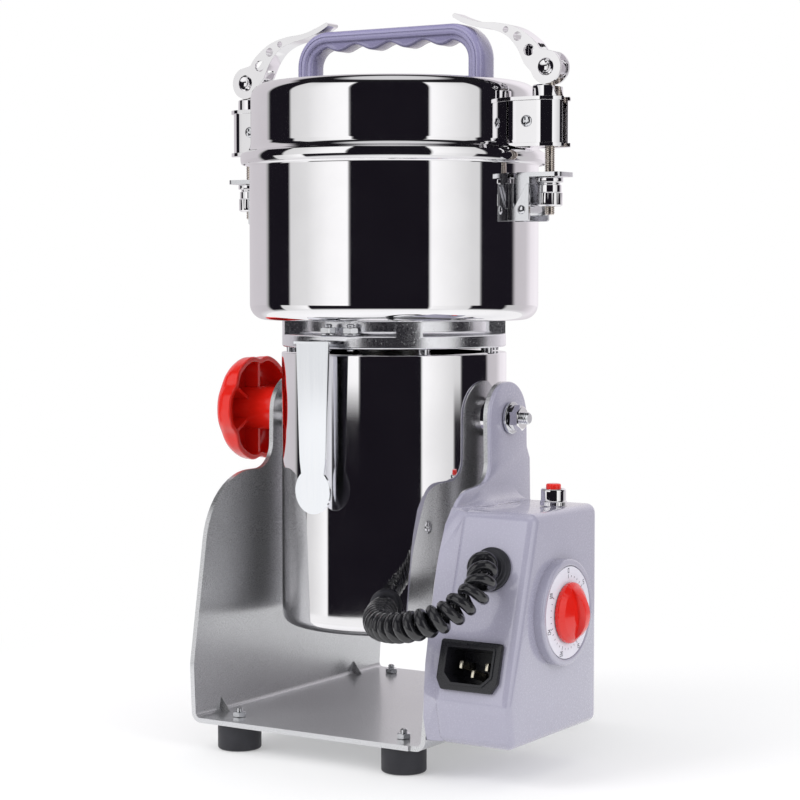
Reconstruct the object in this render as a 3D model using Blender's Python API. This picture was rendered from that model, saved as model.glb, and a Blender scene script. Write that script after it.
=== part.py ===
"""Swing-type tabletop hammer mill: a lidded steel bowl on a motor that tilts in a U-shaped sheet-metal frame.

Metres, +Z up, +X towards the control box, -Y the front. The grinder's upright axis is at x = 0, y = 0 under
the empty "machine", which stands the whole on the floor with its footprint centred on the world's origin.
"""

import math

import bmesh
import bpy
from mathutils import Matrix, Vector

MM = 0.001
GAP = 0.3 * MM  # between pieces that touch
CUT = 4.0 * MM  # how far a cutter runs past what it cuts

# ---- driving dimensions ----------------------------------------------------------------------------------
# frame
FOOT_RADIUS = 11.0 * MM
FOOT_HEIGHT = 13.0 * MM
SHEET = 2.5 * MM
BEND = 5.0 * MM
FRAME_HALF_WIDTH = 66.0 * MM  # outer face of a side plate, at the height of the pivot
SPLAY = 0.0167  # the side plates open out towards the base by this slope
PIVOT_HEIGHT = 167.4 * MM
FRAME_FRONT = 82.0 * MM
FRAME_REAR = 88.0 * MM
FRAME_BULGE = 2.5 * MM
BULGE_HEIGHT = 43.0 * MM
LOBE_RADIUS = 18.0 * MM
FRONT_SHOULDER = 138.0 * MM
BOX_SIDE_SHOULDER = 136.5 * MM
REAR_SHOULDER = 112.0 * MM
SHOULDER_RADIUS = 38.0 * MM
LOBE_FILLET = 13.0 * MM
FOOT_INSET = 17.0 * MM
FOOT_X = FRAME_HALF_WIDTH - FOOT_INSET
FOOT_FRONT = 68.5 * MM
FOOT_REAR = 74.5 * MM
SCREW_RADIUS = 2.0 * MM

# grinder
BOWL_RADIUS = 74.0 * MM
BOWL_FLOOR = 215.7 * MM
BOWL_RIM = 297.0 * MM
BOWL_WALL = 1.5 * MM
BOWL_CORNER = 8.0 * MM
RIM_LIP = 2.5 * MM
MOTOR_RADIUS = 57.8 * MM
MOTOR_WALL = 1.5 * MM
MOTOR_BOTTOM = 60.0 * MM
MOTOR_TOP = 199.1 * MM
MOTOR_CORNER = 5.0 * MM
BOSS_RADIUS = 10.0 * MM
BELL_RADIUS = 59.8 * MM
BELL_BOTTOM = 202.0 * MM
BELL_TOP = 208.7 * MM
BELL_NECK = 50.0 * MM
ADAPTER_BOLT_CIRCLE = 56.0 * MM
ADAPTER_BOLT_ANGLES = (-90.3, -77.9)
STRIP_X = -4.0 * MM
STRIP_Y = -68.0 * MM
STRIP_WIDTH = 21.0 * MM
STRIP_TOP = 206.0 * MM
STRIP_END = 121.0 * MM
STRIP_SHEET = 1.2 * MM

# turning parts
BEARING_CLEARANCE = 0.3 * MM
SHAFT_RADIUS = 7.0 * MM
SHAFT_TOP = 262.0 * MM
JOURNAL_RADIUS = 5.0 * MM
SPINDLE_RADIUS = 5.0 * MM
UPPER_BEARING_RADIUS = 13.0 * MM
LOWER_BEARING_RADIUS = 11.0 * MM
ARMATURE_RADIUS = 24.0 * MM
ARMATURE_LOW = 92.0 * MM
ARMATURE_HIGH = 158.0 * MM
BLADE_REACH = 61.0 * MM
BLADE_WIDTH = 17.0 * MM
BLADE_SHEET = 2.5 * MM
BLADE_HEIGHT = 226.0 * MM
BLADE_SPACING = 16.0 * MM
LINER_HEIGHT = 42.0 * MM
LINER_WALL = 5.0 * MM
LINER_TEETH = 36

# lid
LID_INSET = 0.7 * MM  # the lid's wall stands this far inside the bowl's
LID_RADIUS = BOWL_RADIUS - LID_INSET
LID_TOP = 335.3 * MM
LID_WALL = 1.5 * MM
LID_CORNER = 7.0 * MM
BAND_ROOM = 0.5 * MM
BAND_WALL = 1.5 * MM
BAND_RADIUS = BOWL_RADIUS + RIM_LIP + BAND_ROOM + BAND_WALL
BAND_LOW = 294.6 * MM
BAND_HIGH = 300.0 * MM
HANDLE_HALF_SPAN = 55.5 * MM
HANDLE_HEIGHT = 28.7 * MM
HANDLE_LEG = 8.5 * MM
HANDLE_BAR = 8.2 * MM
HANDLE_DEPTH = 15.0 * MM

# clamps
HINGE_REACH = 6.5 * MM  # from the bowl's wall to the hinge pin
CLAMP_REACH = 10.0 * MM  # from the hinge pin to the rod
HINGE_X = BOWL_RADIUS + HINGE_REACH
CLAMP_X = HINGE_X + CLAMP_REACH
CAM_HEIGHT = 340.0 * MM
CAM_RADIUS = 8.2 * MM
LEVER_WIDTH = 9.6 * MM
ROD_RADIUS = 2.5 * MM
EAR_LOW = 300.0 * MM
EAR_HIGH = 325.5 * MM
EAR_NOSE = 9.5 * MM
EAR_END = CLAMP_X + EAR_NOSE
EAR_HALF_DEPTH = 11.0 * MM
EAR_SHEET = 2.2 * MM
SEAT_INNER = 8.8 * MM
SEAT_OUTER = 4.0 * MM  # short, so that the cam clears it as the rod swings out
HINGE_HEIGHT = 270.5 * MM
YOKE_HIGH = 288.8 * MM
YOKE_SHEET = 2.2 * MM
YOKE_HALF_DEPTH = 8.6 * MM
NUT_RADIUS = 6.8 * MM
NUT_LENGTH = 14.2 * MM
ROD_LOW = 268.0 * MM

# control box
BOX_REACH = 50.0 * MM  # from the side plate's outer face to the box's
BOX_OUT = FRAME_HALF_WIDTH + BOX_REACH
BOX_TOP = 127.0 * MM
BOX_CREASE = 40.0 * MM
BOX_BOTTOM = 19.0 * MM
BOX_FRONT_TOP = 60.0 * MM
BOX_FRONT_CREASE = 86.0 * MM
BOX_FRONT_BOTTOM = 81.5 * MM
BOX_REAR = 4.0 * MM
BOX_WALL = 2.5 * MM
BOX_BEVEL = 3.5 * MM
BOX_PANEL = 2.0 * MM
BOX_STEP = 9.0 * MM
BOX_FRONT_INNER = FRAME_HALF_WIDTH + BOX_STEP
NECK_REAR = 21.0 * MM
DIAL_Y = -36.0 * MM
DIAL_HEIGHT = 78.5 * MM
DIAL_RING_RADIUS = 25.5 * MM
DIAL_PLATE_RADIUS = 22.0 * MM
DIAL_RING_DEPTH = 5.0 * MM
KNOB_RADIUS = 14.6 * MM
KNOB_DEPTH = 10.0 * MM
BREAKER_REACH = 38.0 * MM
BREAKER_X = FRAME_HALF_WIDTH + BREAKER_REACH
BREAKER_Y = -20.0 * MM
BREAKER_RADIUS = 6.6 * MM
BREAKER_HEIGHT = 8.5 * MM
RESET_RADIUS = 3.6 * MM
RESET_PROUD = 2.4 * MM
INLET_REACH = 27.6 * MM
INLET_X = FRAME_HALF_WIDTH + INLET_REACH
INLET_HEIGHT = 56.7 * MM
INLET_WIDTH = 33.0 * MM
INLET_TALL = 23.6 * MM
GLAND_REACH = 31.0 * MM
GLAND_X = FRAME_HALF_WIDTH + GLAND_REACH
GLAND_HEIGHT = 100.9 * MM
GLAND_RADIUS = 10.5 * MM
GLAND_DEPTH = 4.0 * MM

# pivot hardware and clamping knob
BOLT_RADIUS = 3.0 * MM
BOLT_CLEARANCE = 0.3 * MM
STAR_RADIUS = 28.6 * MM
STAR_REACH = 18.0 * MM
STAR_DEPTH = 13.0 * MM
STAR_RIM = FRAME_HALF_WIDTH + STAR_REACH
STAR_OUT = STAR_RIM + STAR_DEPTH
STAR_WALL = 2.6 * MM
STAR_HUB = 11.5 * MM
STAR_LOBES = 6

# coiled cord
COIL_RADIUS = 7.4 * MM
GROMMET_RADIUS = 8.5 * MM
GROMMET_PROUD = 5.0 * MM
CORD_ENTRY = (27.6 * MM, -50.8 * MM, 76.5 * MM)
CORD_ROUTE_MM = (
    (99.6, -80.6, 101.4),
    (101.6, -85.6, 97.6),
    (101.2, -90.0, 93.0),
    (97.6, -95.0, 88.8),
    (92.6, -100.0, 83.5),
    (85.4, -104.0, 80.2),
    (75.2, -105.0, 77.2),
    (62.9, -101.0, 75.1),
    (49.8, -91.0, 74.1),
    (40.2, -77.5, 74.7),
)

ROUND = 36  # sides of a large turned piece
MIDDLE_ROUND = 20
SMALL_ROUND = 16
TINY_ROUND = 8
QUARTER = 3  # steps in a rounded corner

# footprint, used to centre the machine on the world's origin
KNOB_FACE = BOX_OUT + DIAL_RING_DEPTH + GAP + KNOB_DEPTH
CENTRE_X = (KNOB_FACE - EAR_END) / 2
CENTRE_Y = (FRAME_REAR + FRAME_BULGE - BOX_FRONT_CREASE) / 2


# ---- helpers ---------------------------------------------------------------------------------------------
def clear_scene():
    for obj in list(bpy.data.objects):
        bpy.data.objects.remove(obj, do_unlink=True)


def material(name, colour, roughness, metallic):
    found = bpy.data.materials.get(name)
    if found:
        return found
    made = bpy.data.materials.new(name)
    made.use_nodes = True
    shader = made.node_tree.nodes["Principled BSDF"]
    shader.inputs["Base Color"].default_value = (*colour, 1.0)
    shader.inputs["Roughness"].default_value = roughness
    shader.inputs["Metallic"].default_value = metallic
    return made


def polished():
    return material("polished_steel", (0.78, 0.78, 0.79), 0.08, 1.0)


def steel():
    return material("brushed_steel", (0.62, 0.62, 0.63), 0.3, 1.0)


def cast_aluminium():
    return material("cast_aluminium", (0.66, 0.67, 0.69), 0.45, 1.0)


def hammertone():
    return material("hammertone_paint", (0.44, 0.45, 0.46), 0.42, 0.6)


def lavender():
    return material("lavender_plastic", (0.48, 0.46, 0.58), 0.4, 0.0)


def red():
    return material("red_plastic", (0.72, 0.03, 0.02), 0.3, 0.0)


def black():
    return material("black_plastic", (0.02, 0.02, 0.022), 0.45, 0.0)


def rubber():
    return material("rubber", (0.03, 0.03, 0.03), 0.8, 0.0)


def brass():
    return material("brass", (0.75, 0.6, 0.3), 0.25, 1.0)


def finish_mesh(bm, name):
    bmesh.ops.recalc_face_normals(bm, faces=bm.faces)
    mesh = bpy.data.meshes.new(name)
    bm.to_mesh(mesh)
    bm.free()
    return mesh


def place(name, mesh, look, parent=None, location=(0, 0, 0), rotation=(0, 0, 0)):
    obj = bpy.data.objects.new(name, mesh)
    bpy.context.scene.collection.objects.link(obj)
    obj.data.materials.append(look)
    obj.location = location
    obj.rotation_euler = rotation
    obj.parent = parent
    mesh.shade_smooth()
    mesh.set_sharp_from_angle(angle=math.radians(35))
    return obj


def empty(name, location=(0, 0, 0), parent=None, rotation=(0, 0, 0)):
    obj = bpy.data.objects.new(name, None)
    bpy.context.scene.collection.objects.link(obj)
    obj.location = location
    obj.rotation_euler = rotation
    obj.parent = parent
    return obj


def combine(target, other, operation="DIFFERENCE"):
    """Cuts, joins or intersects target with other, a helper that stays hidden."""
    other.hide_render = True
    other.display_type = "WIRE"
    other.parent = target
    modifier = target.modifiers.new(operation.lower(), "BOOLEAN")
    modifier.operation = operation
    modifier.solver = "EXACT"
    modifier.object = other
    return target


def bevel(obj, width, segments=2, angle=30):
    modifier = obj.modifiers.new("bevel", "BEVEL")
    modifier.width = width
    modifier.segments = segments
    modifier.limit_method = "ANGLE"
    modifier.angle_limit = math.radians(angle)
    modifier.harden_normals = False
    return obj


def rounded(corners, steps=QUARTER):
    """A closed outline from (u, v, radius) corners, each turned into an arc of that radius."""
    outline = []
    count = len(corners)
    for i, (u, v, radius) in enumerate(corners):
        here = Vector((u, v))
        if radius <= 0:
            outline.append(here)
            continue
        back = (Vector(corners[i - 1][:2]) - here).normalized()
        ahead = (Vector(corners[(i + 1) % count][:2]) - here).normalized()
        half = back.angle(ahead) / 2
        reach = radius / math.tan(half)
        centre = here + (back + ahead).normalized() * (radius / math.sin(half))
        first = here + back * reach - centre
        last = here + ahead * reach - centre
        turn = first.angle_signed(last)
        for step in range(steps + 1):
            outline.append(centre + Matrix.Rotation(-turn * step / steps, 2) @ first)
    return outline


def circle(radius, sides, centre=(0.0, 0.0), start=0.0):
    turns = [start + 2 * math.pi * i / sides for i in range(sides)]
    return [Vector((centre[0] + radius * math.cos(t), centre[1] + radius * math.sin(t))) for t in turns]


def prism(name, outline, axis, low, high):
    """The outline extruded along X, Y or Z. It lies in (Y, Z), (X, Z) or (X, Y)."""
    bm = bmesh.new()

    def point(uv, level):
        u, v = uv
        return {"X": (level, u, v), "Y": (u, level, v), "Z": (u, v, level)}[axis]

    bottom = [bm.verts.new(point(uv, low)) for uv in outline]
    top = [bm.verts.new(point(uv, high)) for uv in outline]
    bm.faces.new(bottom)
    bm.faces.new(top)
    for i in range(len(outline)):
        j = (i + 1) % len(outline)
        bm.faces.new((bottom[i], bottom[j], top[j], top[i]))
    return finish_mesh(bm, name)


def turned(name, profile, sides=ROUND, axis="Z", ripple=None):
    """The closed (radius, height) profile turned about the axis. Radius 0 ends on the axis."""
    bm = bmesh.new()
    rings = []
    for radius, height in profile:
        if radius < 1e-7:
            rings.append([bm.verts.new(along(axis, 0, 0, height))])
            continue
        ring = []
        for i in range(sides):
            angle = 2 * math.pi * i / sides
            reach = radius * (ripple(angle) if ripple else 1.0)
            ring.append(bm.verts.new(along(axis, reach * math.cos(angle), reach * math.sin(angle), height)))
        rings.append(ring)
    for k in range(len(rings)):
        stitch(bm, rings[k], rings[(k + 1) % len(rings)])
    return finish_mesh(bm, name)


def along(axis, u, v, height):
    return {"Z": (u, v, height), "X": (height, u, v), "Y": (v, height, u)}[axis]


def stitch(bm, one, other):
    if len(one) == 1 and len(other) == 1:
        return
    sides = max(len(one), len(other))
    for i in range(sides):
        j = (i + 1) % sides
        corners = [one[0]] if len(one) == 1 else [one[i], one[j]]
        corners += [other[0]] if len(other) == 1 else [other[j], other[i]]
        bm.faces.new(corners)


def hull(name, points):
    bm = bmesh.new()
    for point in points:
        bm.verts.new(point)
    made = bmesh.ops.convex_hull(bm, input=bm.verts)
    loose = [item for item in made["geom_interior"] if isinstance(item, bmesh.types.BMVert)]
    bmesh.ops.delete(bm, geom=loose, context="VERTS")
    bmesh.ops.dissolve_limit(bm, angle_limit=0.01, verts=bm.verts, edges=bm.edges)
    return finish_mesh(bm, name)


def box_mesh(name, low, high):
    corners = [(x, y, z) for x in (low[0], high[0]) for y in (low[1], high[1]) for z in (low[2], high[2])]
    return hull(name, corners)


def shift(mesh, move):
    """Moves each vertex by what move(co) gives."""
    for vertex in mesh.vertices:
        vertex.co = vertex.co + Vector(move(vertex.co))
    return mesh


def arc(centre, radius, start, stop, steps=QUARTER):
    """Points (u, v) on an arc, its angles in degrees."""
    turns = [math.radians(start + (stop - start) * i / steps) for i in range(steps + 1)]
    return [(centre[0] + radius * math.cos(t), centre[1] + radius * math.sin(t)) for t in turns]


def smooth_route(points, step):
    """A Catmull-Rom curve through the points, read at about every step."""
    ends = [2 * points[0] - points[1], *points, 2 * points[-1] - points[-2]]
    route = [points[0]]
    for a, b, c, d in zip(ends, ends[1:], ends[2:], ends[3:]):
        parts = max(1, round((c - b).length / step))
        for i in range(1, parts + 1):
            t = i / parts
            bend = (2 * a - 5 * b + 4 * c - d) * t**2 + (3 * b - a - 3 * c + d) * t**3
            route.append(0.5 * (2 * b + (c - a) * t + bend))
    return route


# ---- frame -----------------------------------------------------------------------------------------------
def plate_x(height):
    """The outer face of the right side plate at this height."""
    return FRAME_HALF_WIDTH + SPLAY * (PIVOT_HEIGHT - height)


def lobe_corners():
    """The pivot lobe and the rear edge, which both side plates share."""
    bulge = FRAME_REAR + FRAME_BULGE
    top = PIVOT_HEIGHT + LOBE_RADIUS
    return [
        (-LOBE_RADIUS, top, LOBE_RADIUS - 0.01 * MM),
        (LOBE_RADIUS, top, LOBE_RADIUS - 0.01 * MM),
        (LOBE_RADIUS, REAR_SHOULDER, LOBE_FILLET),
        (bulge - 11.5 * MM, REAR_SHOULDER, SHOULDER_RADIUS),
        (bulge, BULGE_HEIGHT, 25 * MM),
    ]


def left_plate(low):
    """The left plate's outline in (Y, Z), as (y, z, radius) corners."""
    bulge = -FRAME_FRONT - FRAME_BULGE
    brow = bulge + 14.6 * MM
    return [
        (-FRAME_FRONT, low, 0),
        (bulge, BULGE_HEIGHT, 25 * MM),
        (brow, FRONT_SHOULDER, SHOULDER_RADIUS),
        (-LOBE_RADIUS, FRONT_SHOULDER, LOBE_FILLET),
        *lobe_corners(),
        (FRAME_REAR, low, 0),
    ]


def right_plate(low):
    """The right plate's outline: its front edge is cut back behind the control box."""
    shoulder = BOX_SIDE_SHOULDER
    return [
        (-FRAME_FRONT, low, 0),
        (-FRAME_FRONT + 8.8 * MM, 66 * MM, 60 * MM),
        (-FRAME_FRONT + 16.5 * MM, 96 * MM, 40 * MM),
        (-FRAME_FRONT + 36.0 * MM, shoulder - 3.5 * MM, 20 * MM),
        (-LOBE_RADIUS, shoulder, LOBE_FILLET - 2 * MM),
        *lobe_corners(),
        (FRAME_REAR, low, 0),
    ]


def u_frame(parent):
    """One sheet bent into a U: the base plate and two side plates with a pivot lobe each."""
    low = FOOT_HEIGHT + GAP
    high = PIVOT_HEIGHT + LOBE_RADIUS + CUT
    out_low, out_high = plate_x(low), plate_x(high)
    section = rounded(
        [
            (out_high, high, 0),
            (out_low, low, BEND),
            (-out_low, low, BEND),
            (-out_high, high, 0),
            (-out_high + SHEET, high, 0),
            (-out_low + SHEET, low + SHEET, BEND - SHEET),
            (out_low - SHEET, low + SHEET, BEND - SHEET),
            (out_high - SHEET, high, 0),
        ]
    )
    reach = FRAME_REAR + FRAME_BULGE + CUT
    frame = place("u_frame", prism("u_frame", section, "Y", -reach, reach), hammertone(), parent)
    side = out_low + CUT
    outline = prism("left_outline", rounded(left_plate(low - CUT)), "X", -side, 0.4 * FOOT_X)
    sides = place("left_outline", outline, steel())
    outline = prism("right_outline", rounded(right_plate(low - CUT)), "X", 0, side)
    combine(sides, place("right_outline", outline, steel()), "UNION")
    combine(frame, sides, "INTERSECT")
    bore = circle(BOLT_RADIUS + BOLT_CLEARANCE, SMALL_ROUND, (0, PIVOT_HEIGHT))
    combine(frame, place("pivot_bore", prism("pivot_bore", bore, "X", -side, side), steel()))
    for i, (x, y) in enumerate(foot_places()):
        hole = circle(SCREW_RADIUS, TINY_ROUND, (x, y))
        cutter = prism("foot_hole", hole, "Z", low - CUT, low + SHEET + CUT)
        combine(frame, place(f"foot_hole_{i}", cutter, steel()))
    for i, (y, z) in enumerate(box_screw_places()):
        hole = circle(SCREW_RADIUS + GAP, TINY_ROUND, (y, z))
        cutter = prism("box_hole", hole, "X", FRAME_HALF_WIDTH - SHEET - CUT, out_low + CUT)
        combine(frame, place(f"box_hole_{i}", cutter, steel()))
    return frame


def foot_places():
    return [(x, y) for y in (-FOOT_FRONT, FOOT_REAR) for x in (-FOOT_X, FOOT_X)]


def box_screw_places():
    return [(-46.5 * MM, 112.0 * MM), (-42.0 * MM, 34.0 * MM)]


def feet(parent):
    """Four rubber feet, each open below where its screw goes in."""
    names = ("foot_front_left", "foot_front_right", "foot_rear_left", "foot_rear_right")
    for name, (x, y) in zip(names, foot_places()):
        profile = [
            (5.0 * MM, 0),
            (FOOT_RADIUS - 0.8 * MM, 0),
            (FOOT_RADIUS, 1.2 * MM),
            (FOOT_RADIUS, FOOT_HEIGHT - 1.0 * MM),
            (FOOT_RADIUS - 1.0 * MM, FOOT_HEIGHT),
            (SCREW_RADIUS, FOOT_HEIGHT),
            (SCREW_RADIUS, 5.0 * MM),
            (5.0 * MM, 5.0 * MM),
        ]
        place(name, turned(name, profile, SMALL_ROUND), rubber(), parent, (x, y, 0))


# ---- pivot hardware --------------------------------------------------------------------------------------
def pivot_right(parent):
    """Bolt, washer and nut on the control box side. The bolt's plain end sits in the motor shell's boss."""
    panel_face = FRAME_HALF_WIDTH + GAP + BOX_PANEL
    washer_low = panel_face + GAP + 0.4 * MM
    washer = 1.4 * MM
    nut_low = washer_low + washer + GAP
    nut = 5.2 * MM
    at = (0, 0, PIVOT_HEIGHT)
    bolt = [
        (0, MOTOR_RADIUS - 6 * MM),
        (BOLT_RADIUS, MOTOR_RADIUS - 6 * MM),
        (BOLT_RADIUS, nut_low + nut + 3.0 * MM),
        (BOLT_RADIUS - 0.8 * MM, nut_low + nut + 3.8 * MM),
        (0, nut_low + nut + 3.8 * MM),
    ]
    bolt_mesh = turned("pivot_bolt", bolt[::-1], SMALL_ROUND, "X")
    place("pivot_bolt", bolt_mesh, steel(), parent, at)
    ring = [
        (BOLT_RADIUS + GAP, washer_low),
        (8.0 * MM, washer_low),
        (8.0 * MM, washer_low + washer),
        (BOLT_RADIUS + GAP, washer_low + washer),
    ]
    place("pivot_washer", turned("pivot_washer", ring, SMALL_ROUND, "X"), steel(), parent, at)
    hexagon = prism("pivot_nut", circle(6.4 * MM, 6), "X", nut_low, nut_low + nut)
    nut_piece = place("pivot_nut", hexagon, polished(), parent, at)
    hole = circle(BOLT_RADIUS + GAP, SMALL_ROUND)
    cutter = prism("nut_hole", hole, "X", nut_low - CUT, nut_low + nut + CUT)
    combine(nut_piece, place("nut_hole", cutter, steel()))


def star_ripple(angle):
    return 1.0 + 0.035 * math.cos(STAR_LOBES * angle)


def star_knob(parent):
    """The clamping knob: a scalloped cup, open towards the frame, with a hub and ribs inside."""
    rim, out, wall = -STAR_RIM, -STAR_OUT, STAR_WALL
    edge = STAR_RADIUS / 1.035
    profile = [
        (0, out + wall),
        (edge - wall - 4.5 * MM, out + wall),
        (edge - wall, out + wall + 5.0 * MM),
        (edge - wall, rim),
        (edge, rim),
        (edge, out + 6.0 * MM),
        (edge - 2.0 * MM, out + 2.0 * MM),
        (edge - 6.0 * MM, out),
        (0, out),
    ]
    cup = turned("star_knob", profile, 36, "X", star_ripple)
    knob = place("star_knob", cup, red(), parent)
    hub_end = -(FRAME_HALF_WIDTH + GAP + 1.8 * MM + GAP)
    hub = prism("star_hub", circle(STAR_HUB, SMALL_ROUND), "X", out + wall / 2, hub_end)
    combine(knob, place("star_hub", hub, red()), "UNION")
    for i in range(STAR_LOBES // 2):
        half = 0.9 * MM
        reach = edge - 0.8 * wall
        low, shoulder, high = out + 0.6 * wall, out + 6.5 * MM, rim - 1.7 * MM
        face = [(low, -reach + 6 * MM), (shoulder, -reach), (high, -reach),
                (high, reach), (shoulder, reach), (low, reach - 6 * MM)]
        rib = prism("star_rib", [Vector(p) for p in face], "Y", -half, half)
        turn = math.pi * i / (STAR_LOBES // 2)
        piece = place(f"star_rib_{i}", rib, red(), rotation=(turn, 0, 0))
        combine(knob, piece, "UNION")
    hole = circle(BOLT_RADIUS + GAP, SMALL_ROUND)
    bore = prism("star_bore", hole, "X", out + 2 * wall, hub_end + CUT)
    combine(knob, place("star_bore", bore, steel()))
    return knob


def pivot_left(parent):
    """The clamping knob with its stud, and the washer that it presses on the frame."""
    at = (0, 0, PIVOT_HEIGHT)
    axis = empty("star_knob_axis", at, parent)
    star_knob(axis)
    stud = [
        (0, -(MOTOR_RADIUS - 6 * MM)),
        (BOLT_RADIUS, -(MOTOR_RADIUS - 6 * MM)),
        (BOLT_RADIUS, -(STAR_OUT - 3 * STAR_WALL)),
        (0, -(STAR_OUT - 3 * STAR_WALL)),
    ]
    place("star_knob_stud", turned("star_knob_stud", stud, SMALL_ROUND, "X"), steel(), axis)
    low = -(FRAME_HALF_WIDTH + GAP + 1.8 * MM)
    high = -(FRAME_HALF_WIDTH + GAP + 0.4 * MM)
    ring = [(BOLT_RADIUS + GAP, low), (9.0 * MM, low), (9.0 * MM, high), (BOLT_RADIUS + GAP, high)]
    place("star_knob_washer", turned("star_knob_washer", ring, SMALL_ROUND, "X"), steel(), axis)


# ---- motor -----------------------------------------------------------------------------------------------
def motor_shell(parent):
    """The polished tube with its rolled bottom, a rim to carry the end bell and two threaded pivot bosses."""
    radius, wall, corner = MOTOR_RADIUS, MOTOR_WALL, MOTOR_CORNER
    seat = LOWER_BEARING_RADIUS + BEARING_CLEARANCE
    outer = arc((radius - corner, MOTOR_BOTTOM + corner), corner, -90, 0)
    inner = arc((radius - corner, MOTOR_BOTTOM + corner), corner - wall, 0, -90)
    profile = [
        *outer,
        (radius, MOTOR_TOP),
        (radius - 9 * MM, MOTOR_TOP),
        (radius - 9 * MM, MOTOR_TOP - 2 * MM),
        (radius - wall, MOTOR_TOP - 2 * MM),
        *inner,
        (seat + 3 * MM, MOTOR_BOTTOM + wall),
        (seat + 3 * MM, MOTOR_BOTTOM + 10 * MM),
        (seat, MOTOR_BOTTOM + 10 * MM),
        (seat, MOTOR_BOTTOM + 2 * MM),
        (6 * MM, MOTOR_BOTTOM + 2 * MM),
        (6 * MM, MOTOR_BOTTOM),
    ]
    shell = place("motor_shell", turned("motor_shell", profile, ROUND), polished(), parent)
    end = FRAME_HALF_WIDTH - SHEET - GAP
    for side in (-1, 1):
        low, high = sorted((side * (radius - 1.0 * MM), side * end))
        boss = prism("boss", circle(BOSS_RADIUS, SMALL_ROUND, (0, PIVOT_HEIGHT)), "X", low, high)
        combine(shell, place(f"boss_{side}", boss, steel()), "UNION")
    hole = circle(BOLT_RADIUS + BOLT_CLEARANCE, SMALL_ROUND, (0, PIVOT_HEIGHT))
    combine(shell, place("boss_bore", prism("boss_bore", hole, "X", -end - CUT, end + CUT), steel()))
    for i in range(6):
        angle = math.radians(60 * i + 30)
        slot = rounded([(24 * MM, -3 * MM, 2.9 * MM), (24 * MM, 3 * MM, 2.9 * MM),
                        (44 * MM, 3 * MM, 2.9 * MM), (44 * MM, -3 * MM, 2.9 * MM)], 2)
        cutter = prism("vent", slot, "Z", MOTOR_BOTTOM - CUT, MOTOR_BOTTOM + CUT)
        combine(shell, place(f"vent_{i}", cutter, steel(), rotation=(0, 0, angle)))
    grip, direction = cord_hole()
    bore = [(0, 6 * MM), (5.3 * MM, 6 * MM), (5.3 * MM, -6 * MM), (0, -6 * MM)]
    hole = turned("cord_hole", bore, SMALL_ROUND)
    combine(shell, place("cord_hole", hole, steel(), None, grip, direction))
    return shell


def cord_hole():
    """Where the cord enters the shell, and the turn that points a +Z shape straight out of it."""
    entry = Vector(CORD_ENTRY)
    outward = Vector((entry.x, entry.y, 0)).normalized()
    grip = outward * MOTOR_RADIUS + Vector((0, 0, entry.z))
    return grip, outward.to_track_quat("Z", "Y").to_euler()


def motor_grommet(parent):
    """The rubber bush round the cord where it enters the shell."""
    grip, direction = cord_hole()
    sag = 1.0 * MM
    profile = [
        (0, -3.5 * MM),
        (5.0 * MM, -3.5 * MM),
        (5.0 * MM, sag),
        (GROMMET_RADIUS, sag),
        (GROMMET_RADIUS - 1.5 * MM, GROMMET_PROUD),
        (0, GROMMET_PROUD),
    ]
    mesh = turned("motor_grommet", profile[::-1], SMALL_ROUND)
    place("motor_grommet", mesh, rubber(), parent, grip, direction)


def end_bell(parent):
    """The cast adapter that closes the motor, holds the upper bearing and carries the bowl."""
    seat = UPPER_BEARING_RADIUS + BEARING_CLEARANCE
    neck_top = BOWL_FLOOR - GAP
    profile = [
        (SHAFT_RADIUS + 1.5 * MM, neck_top),
        (SHAFT_RADIUS + 1.5 * MM, BELL_BOTTOM - 2 * MM),
        (seat, BELL_BOTTOM - 2 * MM),
        (seat, BELL_BOTTOM - 11 * MM),
        (seat + 5 * MM, BELL_BOTTOM - 11 * MM),
        (seat + 6 * MM, BELL_BOTTOM + 2 * MM),
        (46 * MM, BELL_BOTTOM + 2 * MM),
        (46 * MM, BELL_BOTTOM),
        (BELL_RADIUS, BELL_BOTTOM),
        (BELL_RADIUS, BELL_TOP),
        (BELL_NECK, BELL_TOP),
        (BELL_NECK, neck_top),
    ]
    bell = place("end_bell", turned("end_bell", profile, ROUND), cast_aluminium(), parent)
    for i in range(7):
        angle = math.radians(45 * i - 42)
        at = (54.5 * MM * math.cos(angle), 54.5 * MM * math.sin(angle))
        post = prism("post", circle(2.8 * MM, 8, at), "Z", MOTOR_TOP + GAP, BELL_BOTTOM + 2 * MM)
        combine(bell, place(f"post_{i}", post, steel()), "UNION")
    for i, (x, y) in enumerate(adapter_bolt_places()):
        bore = circle(2.0 * MM + GAP, TINY_ROUND, (x, y))
        hole = prism("bell_hole", bore, "Z", BELL_BOTTOM - CUT, BELL_TOP + CUT)
        combine(bell, place(f"bell_hole_{i}", hole, steel()))
    low = STRIP_TOP - STRIP_SHEET - GAP
    slot = box_mesh(
        "strip_slot",
        (STRIP_X - STRIP_WIDTH / 2 - GAP, -BELL_RADIUS - CUT, low),
        (STRIP_X + STRIP_WIDTH / 2 + GAP, -ADAPTER_BOLT_CIRCLE + 5 * MM, STRIP_TOP + GAP),
    )
    combine(bell, place("strip_slot", slot, steel()))
    return bell


def adapter_bolt_places():
    turns = [math.radians(a) for a in ADAPTER_BOLT_ANGLES]
    return [(ADAPTER_BOLT_CIRCLE * math.cos(t), ADAPTER_BOLT_CIRCLE * math.sin(t)) for t in turns]


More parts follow.
